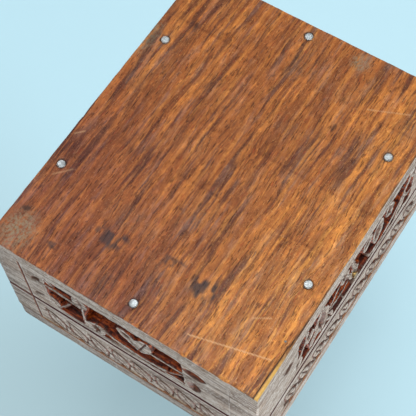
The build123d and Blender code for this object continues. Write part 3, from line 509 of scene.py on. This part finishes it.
class Relief:
    """A face's grid, its depth at each point, and the values painted on it."""

    def __init__(self, s_range, t_range, step=STEP):
        self.s_line, self.t_line = (np.linspace(low, high, max(2, round((high - low) / step) + 1))
                                    for low, high in (s_range, t_range))
        self.s, self.t = np.meshgrid(self.s_line, self.t_line, indexing="ij")
        self.depth = np.zeros(self.s.shape)
        self.paint = {name: np.zeros(self.s.shape) for name in ("relief", "edge", "seam", "yellow")}

    def border(self, side):
        """Distance inside one side of the grid: left, right, low or high."""
        return {"left": self.s - self.s_line[0], "right": self.s_line[-1] - self.s,
                "low": self.t - self.t_line[0], "high": self.t_line[-1] - self.t}[side]

    def wear_edges(self, edges, seed):
        """Round each side over by its own radius, with small nicks, and darken the width of its seam."""
        for k, (side, (radius, seam, wide)) in enumerate(edges.items()):
            inside = self.border(side)
            worn = radius + min(0.3 * radius, 0.12) * lumps(self.s, self.t, 3.0, seed + k)
            self.depth += worn - np.sqrt(worn**2 - np.clip(worn - inside, 0, worn) ** 2)
            line = seam * (1 - ease(inside + 0.1 * lumps(self.s, self.t, 1.8, seed + 9), 0.55 * wide, wide))
            self.paint["seam"] = np.maximum(self.paint["seam"], line)
            # a painted highlight along the rounded arris, partly liming rubbed pale
            self.paint["edge"] += 0.7 * (1 - ease(np.abs(inside - max(1.6 * radius, wide)), 0, 0.5))

    def carve_vine(self, window, stems, leaves, deep, seed, bosses):
        """Sink the ground round a vine and any bosses, and groove its stems and its leaves' veins."""
        s, t = self.s, self.t
        vine = np.full(s.shape, 1e9)
        hollow = np.zeros(s.shape)
        for width, points in stems:
            line = from_line(s, t, curve(points))
            vine = np.minimum(vine, line - width / 2)
            side_groove = 0.35 * (1 - ease(np.abs(line - width * 0.28), 0.05, 0.4)) * (line < width / 2)
            hollow = np.maximum(hollow, side_groove)
        for base, tip, width in leaves:
            blade = from_leaf(s, t, base, tip, width)
            vine = np.minimum(vine, blade)
            vein = from_line(s, t, [base, tip]) + 0.15 * lumps(s, t, 1.1, seed + 6)
            hollow = np.maximum(hollow, 0.55 * (1 - ease(vein, 0.12, 0.5)) * (blade < -0.3))
        for boss_s, boss_t, radius in bosses:
            vine = np.minimum(vine, np.hypot(s - boss_s, t - boss_t) - radius)
        open_ground = np.minimum(-window, vine) + 0.28 * lumps(s, t, 2.1, seed)
        open_ground += 0.18 * lumps(s, t, 0.9, seed + 1)
        ground = deep + 0.28 * lumps(s, t, (2.6, 1.7), seed + 2) + 0.12 * lumps(s, t, 0.9, seed + 3)
        sunk = ease(open_ground, 0.0, 0.12 * deep + 0.1)
        self.depth = np.maximum(self.depth, np.maximum(sunk * ground, hollow + shoulder(-open_ground, 0.22)))
        self.paint["relief"] = np.maximum(self.paint["relief"], ease(open_ground, -0.22, 0.02))
        self.paint["relief"] = np.maximum(self.paint["relief"], 0.75 * ease(hollow, 0.12, 0.5))
        # a painted highlight round the vine's rims, in patches, partly liming rubbed pale
        patchy = 0.25 + 0.75 * ease(lumps(s, t, 2.6, seed + 5), -0.3, 0.5)
        rim = (1 - ease(np.abs(open_ground + 0.35), 0.05, 0.35)) * (open_ground < 0.0)
        self.paint["edge"] += patchy * rim

    def scoop(self, base, tip, width, deep):
        """A shallow almond gouge in a flat face."""
        inside = -from_leaf(self.s, self.t, base, tip, width) + 0.15 * lumps(self.s, self.t, 1.7, 7)
        bowl = ease(inside, 0, width * 0.3)
        self.depth += deep * bowl
        strong = min(0.3 + 0.25 * deep, 0.8)
        self.paint["relief"] = np.maximum(self.paint["relief"], strong * ease(inside, 0, 0.6))

    def carve_border(self, count, height, seed):
        """A row of overlapping leaves: each has an outlined blade, a rib, and a sickle gouge behind it."""
        s, t = self.s, self.t
        wobble = 0.12 * lumps(s, t, 1.3, seed)
        for k in range(count):
            u, v = s - (k - (count - 1) / 2) * LEAF_PITCH, t - height
            near = np.abs(u) < LEAF_PITCH
            blade = from_leaf(u, v, *BORDER_BLADE) + wobble
            outline = near * (1 - ease(np.abs(blade), 0.12, 0.62))
            low_side = ease(-v - 0.9 * u, -1.6, 2.0) * (v < 2)
            behind = near * (1 - ease(np.abs(blade - 0.85), 0.25, 0.95)) * low_side
            rib = near * (1 - ease(from_line(u, v, curve(BORDER_RIB, 6)) + wobble, 0.15, 0.55))
            curl = near * (1 - ease(from_line(u, v, curve(BORDER_HOOK, 6)) + wobble, 0.2, 0.85))
            foot = near * ease(v, 2.4, 5.8) * (1 - ease(np.abs(u - 2.2 + 0.3 * v), 0.4, 1.7))
            self.depth += 0.55 * outline + BORDER_DEPTH * behind + 0.35 * rib + 0.65 * curl + 0.5 * foot
            dark = np.maximum.reduce([0.8 * outline, behind, 0.65 * rib, 0.85 * curl, 0.5 * foot])
            self.paint["relief"] = np.maximum(self.paint["relief"], dark)
        # browner in patches above the leaves towards the top board: partly stain, partly painted shade
        stain_and_shade = ease(t, height + 2.0, height + 7.4) * ease(lumps(s, t, (6, 9), seed + 2), -0.5, 0.5)
        self.paint["yellow"] = np.maximum(self.paint["yellow"], stain_and_shade)

    def roughen(self, seed):
        """Saw and plane marks, dents and a slight waviness all over."""
        s, t = self.s, self.t
        self.depth += 0.05 * (1 + lumps(s, t, 7.0, seed)) + 0.02 * (1 + lumps(s, t, (5.0, 0.7), seed + 1))
        self.depth += 0.16 * ease(lumps(s, t, 2.4, seed + 2), 0.72, 0.95)


# ---------------------------------------------------------------- faces and solid pieces
X, Y, Z = Vector((1, 0, 0)), Vector((0, 1, 0)), Vector((0, 0, 1))
FACES = {  # a point of the face, the way s runs, the way t runs
    "front": (Vector((0, -HALF_D, 0)), X, Z),
    "back": (Vector((0, HALF_D, 0)), -X, Z),
    "right": (Vector((HALF_L, 0, 0)), Y, Z),
    "left": (Vector((-HALF_L, 0, 0)), -Y, Z),
    "top": (Vector((0, 0, LID_TOP)), X, Y),
    "under": (Vector((0, 0, 0)), X, -Y),
}


def solid(name, face, relief, thick, materials, squeeze=None):
    """A closed block whose front is the relief. A side with no material named takes the back's."""
    origin, right, up = (np.array(v) for v in FACES[face])
    out = np.cross(right, up)
    s, t = relief.s.copy(), relief.t.copy()
    if squeeze:
        s, t = squeeze(s, t)
    n, m = s.shape
    front = origin + s[..., None] * right + t[..., None] * up - relief.depth[..., None] * out
    rim = ([(i, 0) for i in range(n)] + [(n - 1, j) for j in range(1, m)]
           + [(i, m - 1) for i in range(n - 2, -1, -1)] + [(0, j) for j in range(m - 2, 0, -1)])
    side_of = (["low"] * (n - 1) + ["right"] * (m - 1) + ["high"] * (n - 1) + ["left"] * (m - 1))
    behind = [origin + s[i, j] * right + t[i, j] * up - thick * out for i, j in rim]
    points = np.concatenate([front.reshape(-1, 3), behind]) * MM
    index = np.arange(n * m).reshape(n, m)
    quads = np.stack([index[:-1, :-1], index[1:, :-1], index[1:, 1:], index[:-1, 1:]], -1).reshape(-1, 4)
    faces = quads.tolist()
    slots = [0] * len(faces)
    names = list(dict.fromkeys(materials.values()))
    for k, (i, j) in enumerate(rim):
        after = (k + 1) % len(rim)
        faces.append([int(index[i, j]), n * m + k, n * m + after, int(index[rim[after]])])
        slots.append(names.index(materials.get(side_of[k], materials["back"])))
    faces.append([n * m + k for k in range(len(rim) - 1, -1, -1)])
    slots.append(names.index(materials["back"]))
    mesh = bpy.data.meshes.new(name)
    mesh.from_pydata(points.tolist(), [], faces)
    for key, value in relief.paint.items():
        value = np.clip(value, 0, 1)
        side_value = [value[place] if key == "seam" else 0.0 for place in rim]
        painted = np.concatenate([value.ravel(), side_value])
        mesh.attributes.new(key, "FLOAT", "POINT").data.foreach_set("value", painted.astype(np.float32))
    for material in names:
        mesh.materials.append(MATERIALS[material])
    mesh.polygons.foreach_set("material_index", slots)
    mesh.shade_smooth()
    mesh.set_sharp_from_angle(angle=SHARP_ANGLE)
    mesh.validate()
    made = bpy.data.objects.new(name, mesh)
    bpy.context.scene.collection.objects.link(made)
    return made


def stand_for(piece, node, body):
    """The piece replaces a CAD node and rides on its body."""
    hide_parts(node)
    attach(piece, body)


# A side's radius, how dark its seam is, and how wide that line is
OPEN = (0.35, 0.0, 0.1)
TIGHT = (0.12, 0.8, 0.35)
SEAM = (0.12, 1.0, 1.1)
GAP = (0.45, 1.0, 1.25)
BUTT = (0.08, 0.75, 0.3)
HINGED = (0.9, 1.0, 1.25)  # rounder, so that the back rims clear each other as the lid turns
BOARD_ARRIS = (0.4, 0.0, 0.1)
TOP_ARRIS = (2.6, 0.0, 0.1)
LONG_EDGES = {"left": OPEN, "right": OPEN}
SHORT_EDGES = {"left": BUTT, "right": SEAM}
LONG_GROOVE, SHORT_GROOVE = 0.45, 0.85  # how dark the line under the top board is

# The material of each side of a block
LONG_SIDES = {"front": "long_face", "back": "inner", "left": "short_face", "right": "short_face"}
SHORT_SIDES = {**LONG_SIDES, "front": "short_face"}
BOARD_SIDES = {**LONG_SIDES, "front": "board", "low": "long_face", "high": "long_face"}
TOP_SIDES = {**BOARD_SIDES, "front": "long_face", "left": "shaded_short_band", "right": "shaded_short_band"}


def bowls_in(leaves, smallest=4.4):
    """A shallow bowl inside each of the larger leaves, with a rim left round it."""
    bowls = []
    for base, tip, width in leaves:
        if width > smallest:
            base, tip = np.array(base, float), np.array(tip, float)
            bowls.append((base + 0.2 * (tip - base), base + 0.85 * (tip - base), 0.6 * width, 0.16 * width))
    return bowls


def lower_leaf_place(relief, window):
    """Sink the round place where the keyhole leaf swings, with the plate's seat and the key's bore."""
    pivot = np.hypot(relief.s, relief.t - LEAF_PIVOT_Z)
    keyhole = np.hypot(relief.s, relief.t - KEYHOLE_Z)
    lowered = (pivot < SWING_RADIUS) & (window < 0)
    for place, floor in ((lowered, SWING_FLOOR), (keyhole < PLATE_SEAT_R, SWING_FLOOR + PLATE_SEAT),
                         (keyhole < KEY_BORE_R, WALL + 0.05)):
        relief.depth = np.where(place, np.maximum(relief.depth, floor), relief.depth)
    relief.paint["relief"] = np.where(lowered, 1.0, relief.paint["relief"])


def body_wall(span, window, stems, leaves, hollows, edges, rim, seed, bosses=()):
    """The relief of one wall of the body. Bosses are given only where the keyhole leaf swings."""
    relief = Relief((-span, span), (BOARD_TOP, BODY_RIM))
    frame_line = from_rectangle(relief.s - sum(window) / 2, relief.t - sum(WINDOW) / 2,
                                (window[1] - window[0]) / 2, (WINDOW[1] - WINDOW[0]) / 2, END_RADIUS)
    relief.roughen(seed)
    relief.carve_vine(frame_line, stems, leaves, RELIEF, seed + 10, bosses)
    for base, tip, width, deep in hollows:
        relief.scoop(base, tip, width, deep)
    if bosses:
        lower_leaf_place(relief, frame_line)
    relief.wear_edges({**edges, "low": TIGHT, "high": rim}, seed + 20)
    return relief


def make_body_walls():
    """The four walls: the long ones show their ends on the short sides."""
    leaf_bosses = [(0, KEYHOLE_Z, KEYHOLE_BOSS_R), (0, LEAF_PIVOT_Z, PIVOT_BOSS_R)]
    for node, face, rim, bosses, seed in (("front_wall", "front", GAP, leaf_bosses, 1),
                                          ("back_wall", "back", HINGED, (), 41)):
        relief = body_wall(HALF_L, LONG_WINDOW, LONG_STEMS, LONG_LEAVES,
                           LONG_HOLLOWS + bowls_in(LONG_LEAVES), LONG_EDGES, rim, seed, bosses)
        piece = solid("carved_" + node, face, relief, WALL, LONG_SIDES)
        if face == "back":
            cut_hinge_seats(piece, BODY_RIM - HINGE_SEAT, BODY_RIM + PAST_EDGE)
        stand_for(piece, node, "body")
    for node, face, seed in (("right_wall", "right", 81), ("left_wall", "left", 121)):
        relief = body_wall(INNER_D, SHORT_WINDOW, SHORT_STEMS, SHORT_LEAVES, SHORT_HOLLOWS, SHORT_EDGES,
                           GAP, seed)
        stand_for(solid("carved_" + node, face, relief, WALL, SHORT_SIDES), node, "body")


def lid_rail(span, high, count, edges, groove_dark, seed):
    """The relief of one rail of the lid, as far up as the given height."""
    relief = Relief((-span, span), (LID_RIM, high))
    relief.roughen(seed)
    relief.carve_border(count, BORDER_Z, seed + 5)
    groove = relief.border("high") + 0.1 * lumps(relief.s, relief.t, (4, 2), seed + 7)
    relief.depth += GROOVE_DEPTH * (1 - ease(groove, 0.5, 1.1))
    relief.paint["seam"] = np.maximum(relief.paint["seam"], groove_dark * (1 - ease(groove, 0.6, 1.3)))
    relief.wear_edges(edges, seed + 20)
    return relief


def make_lid_rails():
    """Three fixed rails and the drawer front, which is the fourth."""
    for node, face, rim, seed in (("lid_front_rail", "front", GAP, 161),
                                  ("lid_back_rail", "back", HINGED, 201)):
        relief = lid_rail(HALF_L, LID_FRAME_TOP, LONG_BORDER, {**LONG_EDGES, "low": rim}, LONG_GROOVE, seed)
        piece = solid("carved_" + node, face, relief, WALL, LONG_SIDES)
        if face == "back":
            cut_hinge_seats(piece, LID_RIM - PAST_EDGE, LID_RIM + HINGE_SEAT)
        stand_for(piece, node, "lid")
    for node, face, body, seed in (("lid_right_rail", "right", "lid", 241),
                                   ("drawer_front", "left", "key_drawer", 281)):
        high = node_box(node)[1]
        relief = lid_rail(high.y, high.z, SHORT_BORDER, {**SHORT_EDGES, "low": GAP}, SHORT_GROOVE, seed)
        stand_for(solid("carved_" + node, face, relief, WALL, SHORT_SIDES), node, body)


def cut_hinge_seats(piece, low, high):
    """Take the hinges' leaves and knuckles out of a back rim."""
    cutters = []
    for side in ("left", "right"):
        leaf_low, leaf_high = node_box(f"{side}_hinge_body_leaf")
        left, right = leaf_low.x - HINGE_ROOM, leaf_high.x + HINGE_ROOM
        cutters.append(block((left, leaf_low.y - HINGE_ROOM, low), (right, HALF_D + 2 * PAST_EDGE, high)))
        cutters.append(rod(HINGE_SEAT_R, left - HINGE_ROOM, right + HINGE_ROOM))
    for cutter in cutters:
        cut = piece.modifiers.new("seat", "BOOLEAN")
        cut.operation, cut.object, cut.solver = "DIFFERENCE", cutter, "EXACT"
    bpy.context.view_layer.update()
    cut_mesh = bpy.data.meshes.new_from_object(piece.evaluated_get(bpy.context.evaluated_depsgraph_get()))
    piece.modifiers.clear()
    piece.data = cut_mesh
    for cutter in cutters:
        bpy.data.objects.remove(cutter)


def block(low, high):
    """A plain cutter between two corners."""
    corners = [(x, y, z) for x in (low[0], high[0]) for y in (low[1], high[1]) for z in (low[2], high[2])]
    faces = [(0, 1, 3, 2), (4, 6, 7, 5), (0, 4, 5, 1), (2, 3, 7, 6), (0, 2, 6, 4), (1, 5, 7, 3)]
    return linked("cutter", np.array(corners) * MM, faces)


def rod(radius, low_x, high_x, sides=32):
    """A round cutter along the hinge axis."""
    turn = [2 * math.pi * k / sides for k in range(sides)]
    points = [(x, HINGE_AXIS_Y + radius * math.cos(a), HINGE_AXIS_Z + radius * math.sin(a))
              for x in (low_x, high_x) for a in turn]
    faces = [(k, (k + 1) % sides, sides + (k + 1) % sides, sides + k) for k in range(sides)]
    faces += [tuple(range(sides - 1, -1, -1)), tuple(range(sides, 2 * sides))]
    return linked("cutter", np.array(points) * MM, faces)


def linked(name, points, faces):
    """A new mesh object in the scene."""
    mesh = bpy.data.meshes.new(name)
    mesh.from_pydata(points.tolist(), [], faces)
    made = bpy.data.objects.new(name, mesh)
    bpy.context.scene.collection.objects.link(made)
    return made


def round_corners(radius):
    """Pull a rectangle's grid in so that its corners are round."""
    def squeeze(s, t):
        u, v = np.abs(s) - (HALF_L - radius), np.abs(t) - (HALF_D - radius)
        corner = (u > 0) & (v > 0)
        reach = np.maximum(np.maximum(u, v), 1e-9)
        scale = np.where(corner, reach / np.maximum(np.hypot(u, v), 1e-9), 1.0)
        s = np.where(corner, np.sign(s) * (HALF_L - radius + u * scale), s)
        t = np.where(corner, np.sign(t) * (HALF_D - radius + v * scale), t)
        return s, t
    return squeeze


def make_top_board():
    """The lid's top board with its carved panel and rounded arrises."""
    relief = Relief((-HALF_L, HALF_L), (-HALF_D, HALF_D), BOARD_STEP)
    s, t = relief.s, relief.t
    relief.roughen(321)
    window = from_rectangle(s, t, *TOP_PANEL, END_RADIUS)
    quarter = np.abs(s), np.abs(t)
    around = np.hypot(s, t)
    vine = np.minimum(np.abs(around - TOP_RING) - TOP_RING_WIDTH / 2, around - TOP_BOSS)
    hollow = np.zeros(s.shape)
    for width, points in TOP_STEMS:
        vine = np.minimum(vine, from_line(*quarter, curve(points)) - width / 2)
    petals = []
    for k in range(TOP_PETALS):
        turn = 2 * math.pi * k / TOP_PETALS
        way = np.array([math.cos(turn), math.sin(turn)])
        petals.append(((TOP_BOSS - TOP_PETAL_LAP) * way, (TOP_RING + TOP_PETAL_LAP) * way, TOP_PETAL_WIDTH))
    for where, leaves in ((quarter, TOP_LEAVES), ((s, t), petals)):
        for base, tip, width in leaves:
            leaf = from_leaf(*where, base, tip, width)
            vine = np.minimum(vine, leaf)
            hollow = np.maximum(hollow, 0.16 * width * ease(-leaf, 0.1 * width, 0.42 * width))
    ground = np.minimum(-window, vine) + 0.2 * lumps(s, t, 2.1, 330)
    sunk = ease(ground, 0.0, 0.6)
    deep = TOP_RELIEF + 0.2 * lumps(s, t, 2.0, 331)
    relief.depth = np.maximum(relief.depth, np.maximum(sunk * deep, hollow + shoulder(-ground, 0.4)))
    relief.paint["relief"] = np.maximum(ease(ground, -0.05, 0.3), 0.3 * ease(hollow, 0.2, 0.9))
    # a painted highlight round the vine's rims, partly liming rubbed pale
    relief.paint["edge"] += (1 - ease(np.abs(ground + 0.35), 0.05, 0.45)) * (ground < 0.1)
    relief.wear_edges(dict.fromkeys(("left", "right", "low", "high"), TOP_ARRIS), 341)
    piece = solid("carved_lid_top_board", "top", relief, LID_TOP - LID_FRAME_TOP, TOP_SIDES,
                  round_corners(TOP_CORNER_R))
    stand_for(piece, "lid_top_board", "lid")


# Marks on the underside, in the frame's x and y. A cross mark is a saw line's x and its strength. A
# blot is its centre, its reach along and across the grain, and its strength.
CROSS_MARKS = [(51.0, 0.5), (11.5, 0.9), (-9.0, 0.7), (-40.5, 0.8), (-22.0, 0.25), (33.0, 0.25)]
INK_SMUDGES = [
    (40.0, -18.0, 5.0, 5.5, 0.85), (38.5, -5.0, 2.0, 5.5, 0.6), (41.5, 16.5, 3.6, 6.0, 0.7),
    (53.5, 31.0, 1.0, 2.6, 0.6),
]
SCRATCHES = [
    ([(49.5, -48), (52.5, -36), (56.0, -22)], 0.75), ([(38.0, -41), (41.0, -36)], 0.6),
    ([(-48.0, -42), (-42.5, -29)], 0.45), ([(28.0, 42), (33.0, 46.6)], 0.4),
    ([(14.0, 47), (16.5, 49.4)], 0.5),
]
DARK_SPOTS = [
    (-30.5, -23.0, 2.0, 0.7, 0.65), (-48.0, 1.8, 3.2, 0.6, 0.6), (-53.5, 3.0, 0.9, 0.6, 0.75),
    (-40.5, 38.6, 2.0, 1.2, 0.6), (47.5, 46.0, 1.0, 1.8, 0.7), (-30.0, 49.0, 5.0, 1.6, 0.45),
    (-14.0, 6.0, 2.2, 0.5, 0.4), (54.6, 31.0, 0.6, 1.6, 0.6),
]
CORNER_DUST = [(55.0, 44.0, 7.5, 6.0, 1.0)]
EDGE_DUST = [(-57.5, -18.0, 4.0, 4.0, 0.8), (-29.0, 50.0, 8.0, 3.0, 0.8)]
STRIP_WIDTH, STRIP_LENGTH, STRIP_DROP = 1.1, 34.0, 0.35
CRACK_DROP = 0.4
CHIP_DROP = 0.7


def blots(s, y, places, fade, ragged=0):
    """Blots that fade out between two shares of their reach, with ragged outlines."""
    found = np.zeros(s.shape)
    for x, middle_y, long_way, cross_way, strong in places:
        away = np.hypot((s - x) / long_way, (y - middle_y) / cross_way) + ragged
        found = np.maximum(found, strong * (1 - ease(away, *fade)))
    return found


def make_bottom_board():
    """The nailed underside: worn edges, dished nails, a splintered front corner, dirt and scratches."""
    relief = Relief((-HALF_L, HALF_L), (-HALF_D, HALF_D), BOARD_STEP)
    s, y = relief.s, -relief.t
    front, right_side = y + HALF_D, HALF_L - s
    relief.depth += 0.05 * (1 + lumps(s, y, (18, 9), 401)) + 0.02 * (1 + lumps(s, y, (6, 0.8), 402))
    relief.depth += 0.15 * ease(lumps(s, y, 1.6, 403), 0.84, 0.98)
    paint = relief.paint
    for name in ("band", "scratch"):
        paint[name] = np.zeros(s.shape)
    paint["stain_and_shade"] = blots(s, y, DARK_SPOTS, (0.4, 1.15), 0.35 * lumps(s, y, 1.5, 424))
    paint["pale"] = 0.65 * ease(0.3 * s - y, 5, 62)
    paint["red"] = 0.8 * ease(0.9 * s + 0.8 * y, -8, 66)
    paint["curl"] = 0.15 + 0.85 * ease(-y, 30, 46)
    for place, strong in CROSS_MARKS:
        away = s - place + 0.5 * lumps(s, y, (30, 14), 420) + 0.15 * lumps(s, y, 2.5, 421)
        shade = ease(-away, -0.4, 0.6) * (1 - ease(-away, 1, 9))
        line = 0.75 * (1 - ease(np.abs(away), 0.15, 0.8)) + 0.45 * shade
        patchy = 0.35 + 0.65 * ease(lumps(s, y, (12, 16), 422 + place), -0.5, 0.5)
        paint["band"] = np.maximum(paint["band"], 0.7 * strong * patchy * line)
    for x, nail_y in NAIL_PLACES:
        away = np.hypot(s - x, y - nail_y)
        relief.depth += NAIL_DISH * (1 - ease(away, NAIL_HEAD_R, NAIL_DISH_R))
        relief.depth += NAIL_HOLE * (away < NAIL_HOLE_R)
        ring = 1.0 - ease(away + 0.15 * lumps(s, y, 0.9, 427), NAIL_HEAD_R + 0.15, NAIL_HEAD_R + 0.65)
        paint["stain_and_shade"] = np.maximum(paint["stain_and_shade"], ring * (0.6 + 0.4 * lumps(s, y, 1.4, 423)))
    paint["ink"] = blots(s, y, INK_SMUDGES, (0.5, 1.2), 0.3 * lumps(s, y, 2.2, 425))
    paint["ink"] *= ease(lumps(s, y, (2.6, 1.3), 426), -0.35, 0.15)
    strip_wide = STRIP_WIDTH * (1 - ease(right_side, 0, STRIP_LENGTH)) + 0.2 * lumps(s, y, 4.0, 404)
    crack = np.abs(front - strip_wide - 0.35)
    paint["raw"] = ease(strip_wide - front, -0.2, 0.15) * (1 - ease(right_side, 9, 20))
    # darker in patches along the board's front edge, except near the +x end
    darker_front_edge = (1 - ease(front, 0.15, 0.75)) * ease(lumps(s, y, (9, 3), 428), -0.5, 0.2)
    paint["stain_and_shade"] = np.maximum(paint["stain_and_shade"], 0.7 * darker_front_edge * ease(right_side, 14, 24))
    # painted shadow: a dark line along the crack, where the board's edge steps down to the raw strip
    cracked = 1 - ease(right_side, 28, 36)
    paint["stain_and_shade"] = np.maximum(paint["stain_and_shade"], (1 - ease(crack, 0.1, 0.38)) * cracked)
    relief.depth += STRIP_DROP * paint["raw"] + CRACK_DROP * (1 - ease(crack, 0.05, 0.4)) * cracked
    paint["dirt"] = np.maximum.reduce([
        blots(s, y, CORNER_DUST, (0.4, 1.4)), blots(s, y, EDGE_DUST, (0.4, 1.3)),
        0.12 * ease(lumps(s, y, 11, 405), 0.2, 0.8),
    ])
    for line, strong in SCRATCHES:
        away = from_line(s, y, curve(line, 8)) + 0.05 * lumps(s, y, 1.2, 406)
        paint["scratch"] = np.maximum(paint["scratch"], strong * (1 - ease(away, 0.05, 0.32)))
    chips = ease(lumps(s, y, 2.2, 407), 0.35, 0.8) * (1 - ease(right_side, 0.2, 1.3))
    relief.depth += CHIP_DROP * chips
    relief.wear_edges(dict.fromkeys(("left", "right", "low", "high"), BOARD_ARRIS), 411)
    stand_for(solid("worn_bottom_board", "under", relief, BOARD_TOP, BOARD_SIDES), "bottom_board", "body")


LEAF_GRID = (15, 44)
LEAF_EDGE = 0.35
LEAF_BOWL = 0.55
LEAF_VEIN = 0.2
LEAF_DEEPEST = 1.2


def make_keyhole_leaf():
    """The small carved leaf that hides the keyhole, with an eye round its pin."""
    low, high = node_box("keyhole_leaf")
    across, along = LEAF_GRID
    width = high.x - low.x
    half, rise = (high.z - low.z) / 2, width / 2
    radius = (half**2 + rise**2) / (2 * rise)
    middle = (high.z + low.z) / 2
    points, faces = [], []
    for layer in (0, 1):
        for i in range(along + 1):
            z = low.z + (high.z - low.z) * (0.5 - 0.5 * math.cos(math.pi * i / along))
            reach = max(math.sqrt(radius**2 - (z - middle) ** 2) - radius + rise, 0.02)
            reach = max(reach, math.sqrt(max(EYE_R**2 - (z - LEAF_PIVOT_Z) ** 2, 0)))
            for j in range(across + 1):
                u = 2 * j / across - 1
                rim = min(1 - abs(u), LEAF_EDGE) / LEAF_EDGE
                inset = LEAF_EDGE * (1 - rim**0.5)
                inset += LEAF_BOWL * float(ease(1 - abs(u), 0.25, 0.8)) * reach / rise
                inset += LEAF_VEIN * (1 - float(ease(abs(u), 0.02, 0.12)))
                y = low.y + min(inset, LEAF_DEEPEST) if layer == 0 else high.y
                points.append((u * reach, y, z))
    row, sheet = across + 1, (across + 1) * (along + 1)
    for i in range(along):
        for j in range(across):
            k = i * row + j
            faces.append((k, k + 1, k + 1 + row, k + row))
            faces.append((sheet + k, sheet + k + row, sheet + k + row + 1, sheet + k + 1))
    rim_runs = [(i * row + j, row) for i in range(along) for j in (0, across)]
    rim_runs += [(i * row + j, 1) for j in range(across) for i in (0, along)]
    faces += [(k, k + step, sheet + k + step, sheet + k) for k, step in rim_runs]
    piece = linked("carved_keyhole_leaf", np.array(points) * MM, faces)
    shell = bmesh.new()
    shell.from_mesh(piece.data)
    bmesh.ops.recalc_face_normals(shell, faces=shell.faces)
    shell.to_mesh(piece.data)
    shell.free()
    piece.data.materials.append(MATERIALS["long_face"])
    piece.data.shade_smooth()
    piece.data.set_sharp_from_angle(angle=math.radians(50))
    stand_for(piece, "keyhole_leaf", "leaf")


def paint_hardware():
    """Procedural materials on the CAD nodes that stay."""
    by_kind = {
        "nail": ("bottom_nails",),
        "brad": ("edge_brad",),
        "brass": [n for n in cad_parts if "hinge" in n or n.startswith("lock_") or n in
                  ("staple_screws", "key", "keyhole_plate", "leaf_pin")],
        "inner": ("lid_ceiling", "front_runner", "back_runner", "drawer_stop", "drawer_tray",
                  "drawer_dowels"),
    }
    for kind, nodes in by_kind.items():
        for node in nodes:
            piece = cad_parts[node]
            for k in range(len(piece.material_slots)):
                piece.material_slots[k].link = "OBJECT"
                piece.material_slots[k].material = MATERIALS[kind]


# ---------------------------------------------------------------- stage and lights
# painted shadow: on the backdrop, the sheet darkens between these places towards the box's shadow
FADE = (-0.05, 0.13)  # where a sheet's tone changes, along X in metres
FLOOR_DROP = 0.0004
FLOOR_SIZE = 6.0
BACKDROP_HEIGHT = 0.20
BACKDROP_SIZE = 3.0
AIM = Vector((0, 0, 0.033))
LAMPS = [  # name, place, size, power, colour
    ("under_key", (0.10, -0.10, -1.02), 0.55, 9.7, (1.0, 1.0, 1.0)),
    ("under_fill", (0.45, -0.85, -0.45), 0.8, 4.0, (1.0, 0.98, 0.95)),
    ("top_key", (0.55, -0.6, 0.9), 0.6, 14.0, (1.0, 1.0, 1.0)),
    ("top_fill", (-0.7, 0.5, 0.7), 0.9, 6.0, (0.94, 0.97, 1.0)),
]


def one_sided(name, colour, far_colour, height, size, faces_up):
    """A plain sheet seen from one side only, which glows evenly and darkens softly along X: on the backdrop
    the darker side is a painted shadow of the box.
    """
    g = Graph(name)
    place = g.node("TexCoord").outputs["Object"]
    along = g.node("SeparateXYZ", {0: place}).outputs["X"]
    drift = g.math("MULTIPLY", g.noise(place, 6.0, 1.0), 0.10)
    light_and_shade_tone = g.mix(g.spread(g.math("ADD", along, drift), *FADE), colour, far_colour)
    glow = g.node("Emission", {"Color": light_and_shade_tone, "Strength": 0.55})
    shader = g.node("AddShader", {0: g.node("BsdfDiffuse", {"Color": light_and_shade_tone}).outputs[0], 1: glow.outputs[0]})
    clear = g.node("BsdfTransparent")
    choose = g.node("MixShader", {"Fac": g.node("NewGeometry").outputs["Backfacing"], 1: shader.outputs[0],
                                  2: clear.outputs[0]})
    g.tree.links.new(choose.outputs[0], g.output.inputs["Surface"])
    corners = [(-1, -1), (1, -1), (1, 1), (-1, 1)]
    points = np.array([(x * size / 2, y * size / 2, height) for x, y in corners])
    sheet = linked(name, points, [(0, 1, 2, 3) if faces_up else (3, 2, 1, 0)])
    sheet.data.materials.append(g.material)
    sheet.visible_shadow = False
    return sheet


def add_lamp(name, place, size, power, colour):
    """A large soft lamp that the camera doesn't see."""
    data = bpy.data.lights.new(name, "AREA")
    data.shape, data.size, data.energy, data.color = "DISK", size, power, colour
    lamp = bpy.data.objects.new(name, data)
    bpy.context.scene.collection.objects.link(lamp)
    lamp.location = place
    lamp.rotation_mode = "QUATERNION"
    lamp.rotation_quaternion = (Vector(place) - AIM).to_track_quat("Z", "Y")
    lamp.visible_camera = False


def make_stage():
    """A pale floor under the box for views from above, and a pale sheet beyond it for the one from below."""
    one_sided("floor", (0.40, 0.46, 0.48), (0.38, 0.44, 0.46), -FLOOR_DROP, FLOOR_SIZE, True)
    # the backdrop's second colour is a painted shadow of the box, darker towards the bottom of the view from
    # below
    backdrop = one_sided("backdrop", (0.302, 0.420, 0.460), (0.232, 0.305, 0.325), BACKDROP_HEIGHT,
                         BACKDROP_SIZE, False)
    backdrop.visible_diffuse = False
    backdrop.visible_glossy = False
    world = bpy.data.worlds.new("world")
    world.use_nodes = True
    background = world.node_tree.nodes["Background"]
    background.inputs["Color"].default_value = (0.80, 0.90, 1.0, 1.0)
    background.inputs["Strength"].default_value = 0.55
    bpy.context.scene.world = world
    for lamp in LAMPS:
        add_lamp(*lamp)


make_body_walls()
make_lid_rails()
make_top_board()
make_bottom_board()
make_keyhole_leaf()
paint_hardware()
make_stage()
